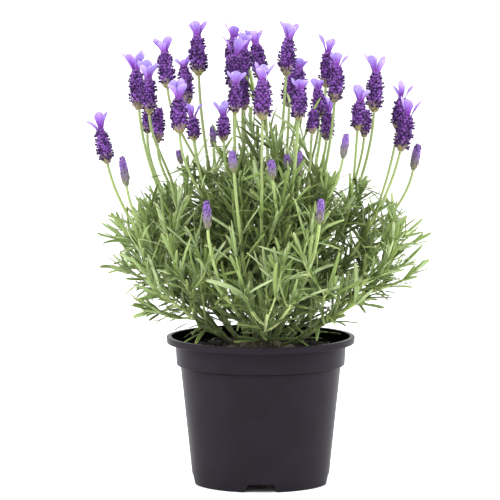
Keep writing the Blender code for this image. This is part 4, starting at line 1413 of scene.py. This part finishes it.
for number, name in enumerate(sorted(heads)):
    spike = heads[name]
    chance = np.random.default_rng(HEAD_SEED + number)
    surfaces = Surfaces()
    add_core(surfaces, spike, 0.1)
    add_bracts(surfaces, spike, chance, *OPEN_BRACTS)
    add_flowers(surfaces, spike, chance, BRACT_SPACING, BRACTS_ROUND)
    if spike.ear > LEAST_EAR:
        add_ears(surfaces, spike, chance)
    mesh = surfaces.mesh(name + "_bloom", purple_bract, dark_flower, lilac_ear)
    show(mesh, name + "_bloom", "flower", name)

for label, specs in YOUNG_SPIKES.items():
    for letter, spec in zip("xyz", specs):
        spike = young_spike(*spec)
        chance = np.random.default_rng(int(spec[0]) + YOUNG_SPIKE_SEED)
        surfaces = Surfaces()
        add_core(surfaces, spike, 0.4)
        add_bracts(surfaces, spike, chance, *CLOSED_BRACTS)
        name = f"young_spike_{label}{letter}"
        show(surfaces.mesh(name, closed_bract), name, "flower")


# ---- Where it is shown --------------------------------------------------------------------------
# A plain pale floor in an even white room, with a large soft light in front and one at each side.

FLOOR_SIZE = 12.0
PLANT_MIDDLE = Vector((0.0, 0.0, 0.2))
CAMERA_PLACE = (-0.0085, -3.160, 0.525)
CAMERA_TILT = 83.88
CAMERA_LENS = 288.3
SENSOR_WIDTH = 36
FRONT_WALL = 1.0
BACK_WALL = 2.1

# Each light's name, place, size in metres, power in watts and colour.
LIGHTS = (
    ("front_light", (-0.8, -1.7, 2.3), 1.8, 60.0, (1.0, 0.98, 0.96)),
    ("left_light", (-2.0, 0.1, 0.9), 1.2, 32.0, (0.95, 0.97, 1.0)),
    ("right_light", (2.0, 0.1, 0.9), 1.2, 55.0, (0.95, 0.97, 1.0)),
)


def floor_finish():
    material, start = new_finish("pale_floor")
    grain = start.noise(object_place(start), 3.0)
    colour = grain.mix((0.90, 0.90, 0.90), (0.93, 0.93, 0.93))
    values = {"Base Color": colour, "Roughness": grain * 0.1 + 0.9, "Specular IOR Level": 0.0}
    shader = start.node("ShaderNodeBsdfPrincipled", (), values)
    return covered(material, shader)


def soft_light(name, place, size, power, colour):
    """A square area light that looks at the middle of the plant."""
    light = bpy.data.lights.new(name, "AREA")
    light.shape = "SQUARE"
    light.size = size
    light.energy = power
    light.color = colour
    lamp = bpy.data.objects.new(name, light)
    bpy.context.scene.collection.objects.link(lamp)
    lamp.location = place
    lamp.rotation_euler = (PLANT_MIDDLE - Vector(place)).to_track_quat("-Z", "Y").to_euler()


for light in LIGHTS:
    soft_light(*light)

half = FLOOR_SIZE / 2
floor_mesh = bpy.data.meshes.new("floor")
corners = [(-half, -half, 0), (half, -half, 0), (half, half, 0), (-half, half, 0)]
floor_mesh.from_pydata(corners, [], [(0, 1, 2, 3)])
floor_mesh.materials.append(floor_finish())
floor = bpy.data.objects.new("floor", floor_mesh)
bpy.context.scene.collection.objects.link(floor)

world = bpy.data.worlds.new("white_room")
bpy.context.scene.world = world
world.use_nodes = True
world.node_tree.nodes.clear()
room = Wire(world.node_tree)
facing = room.node("ShaderNodeTexCoord").part(1)
walls = facing.within(-0.3, 0.5) * (BACK_WALL - FRONT_WALL) + FRONT_WALL
glow = room.node("ShaderNodeBackground", (), {"Color": (1.0, 1.0, 1.0, 1.0), "Strength": walls})
room.node("ShaderNodeOutputWorld", (), {"Surface": glow})

camera = bpy.data.objects.new("camera", bpy.data.cameras.new("camera"))
bpy.context.scene.collection.objects.link(camera)
camera.location = CAMERA_PLACE
camera.rotation_euler = (np.radians(CAMERA_TILT), 0, 0)
camera.data.lens = CAMERA_LENS
camera.data.sensor_width = SENSOR_WIDTH
bpy.context.scene.camera = camera
bpy.context.scene.view_settings.view_transform = "Standard"
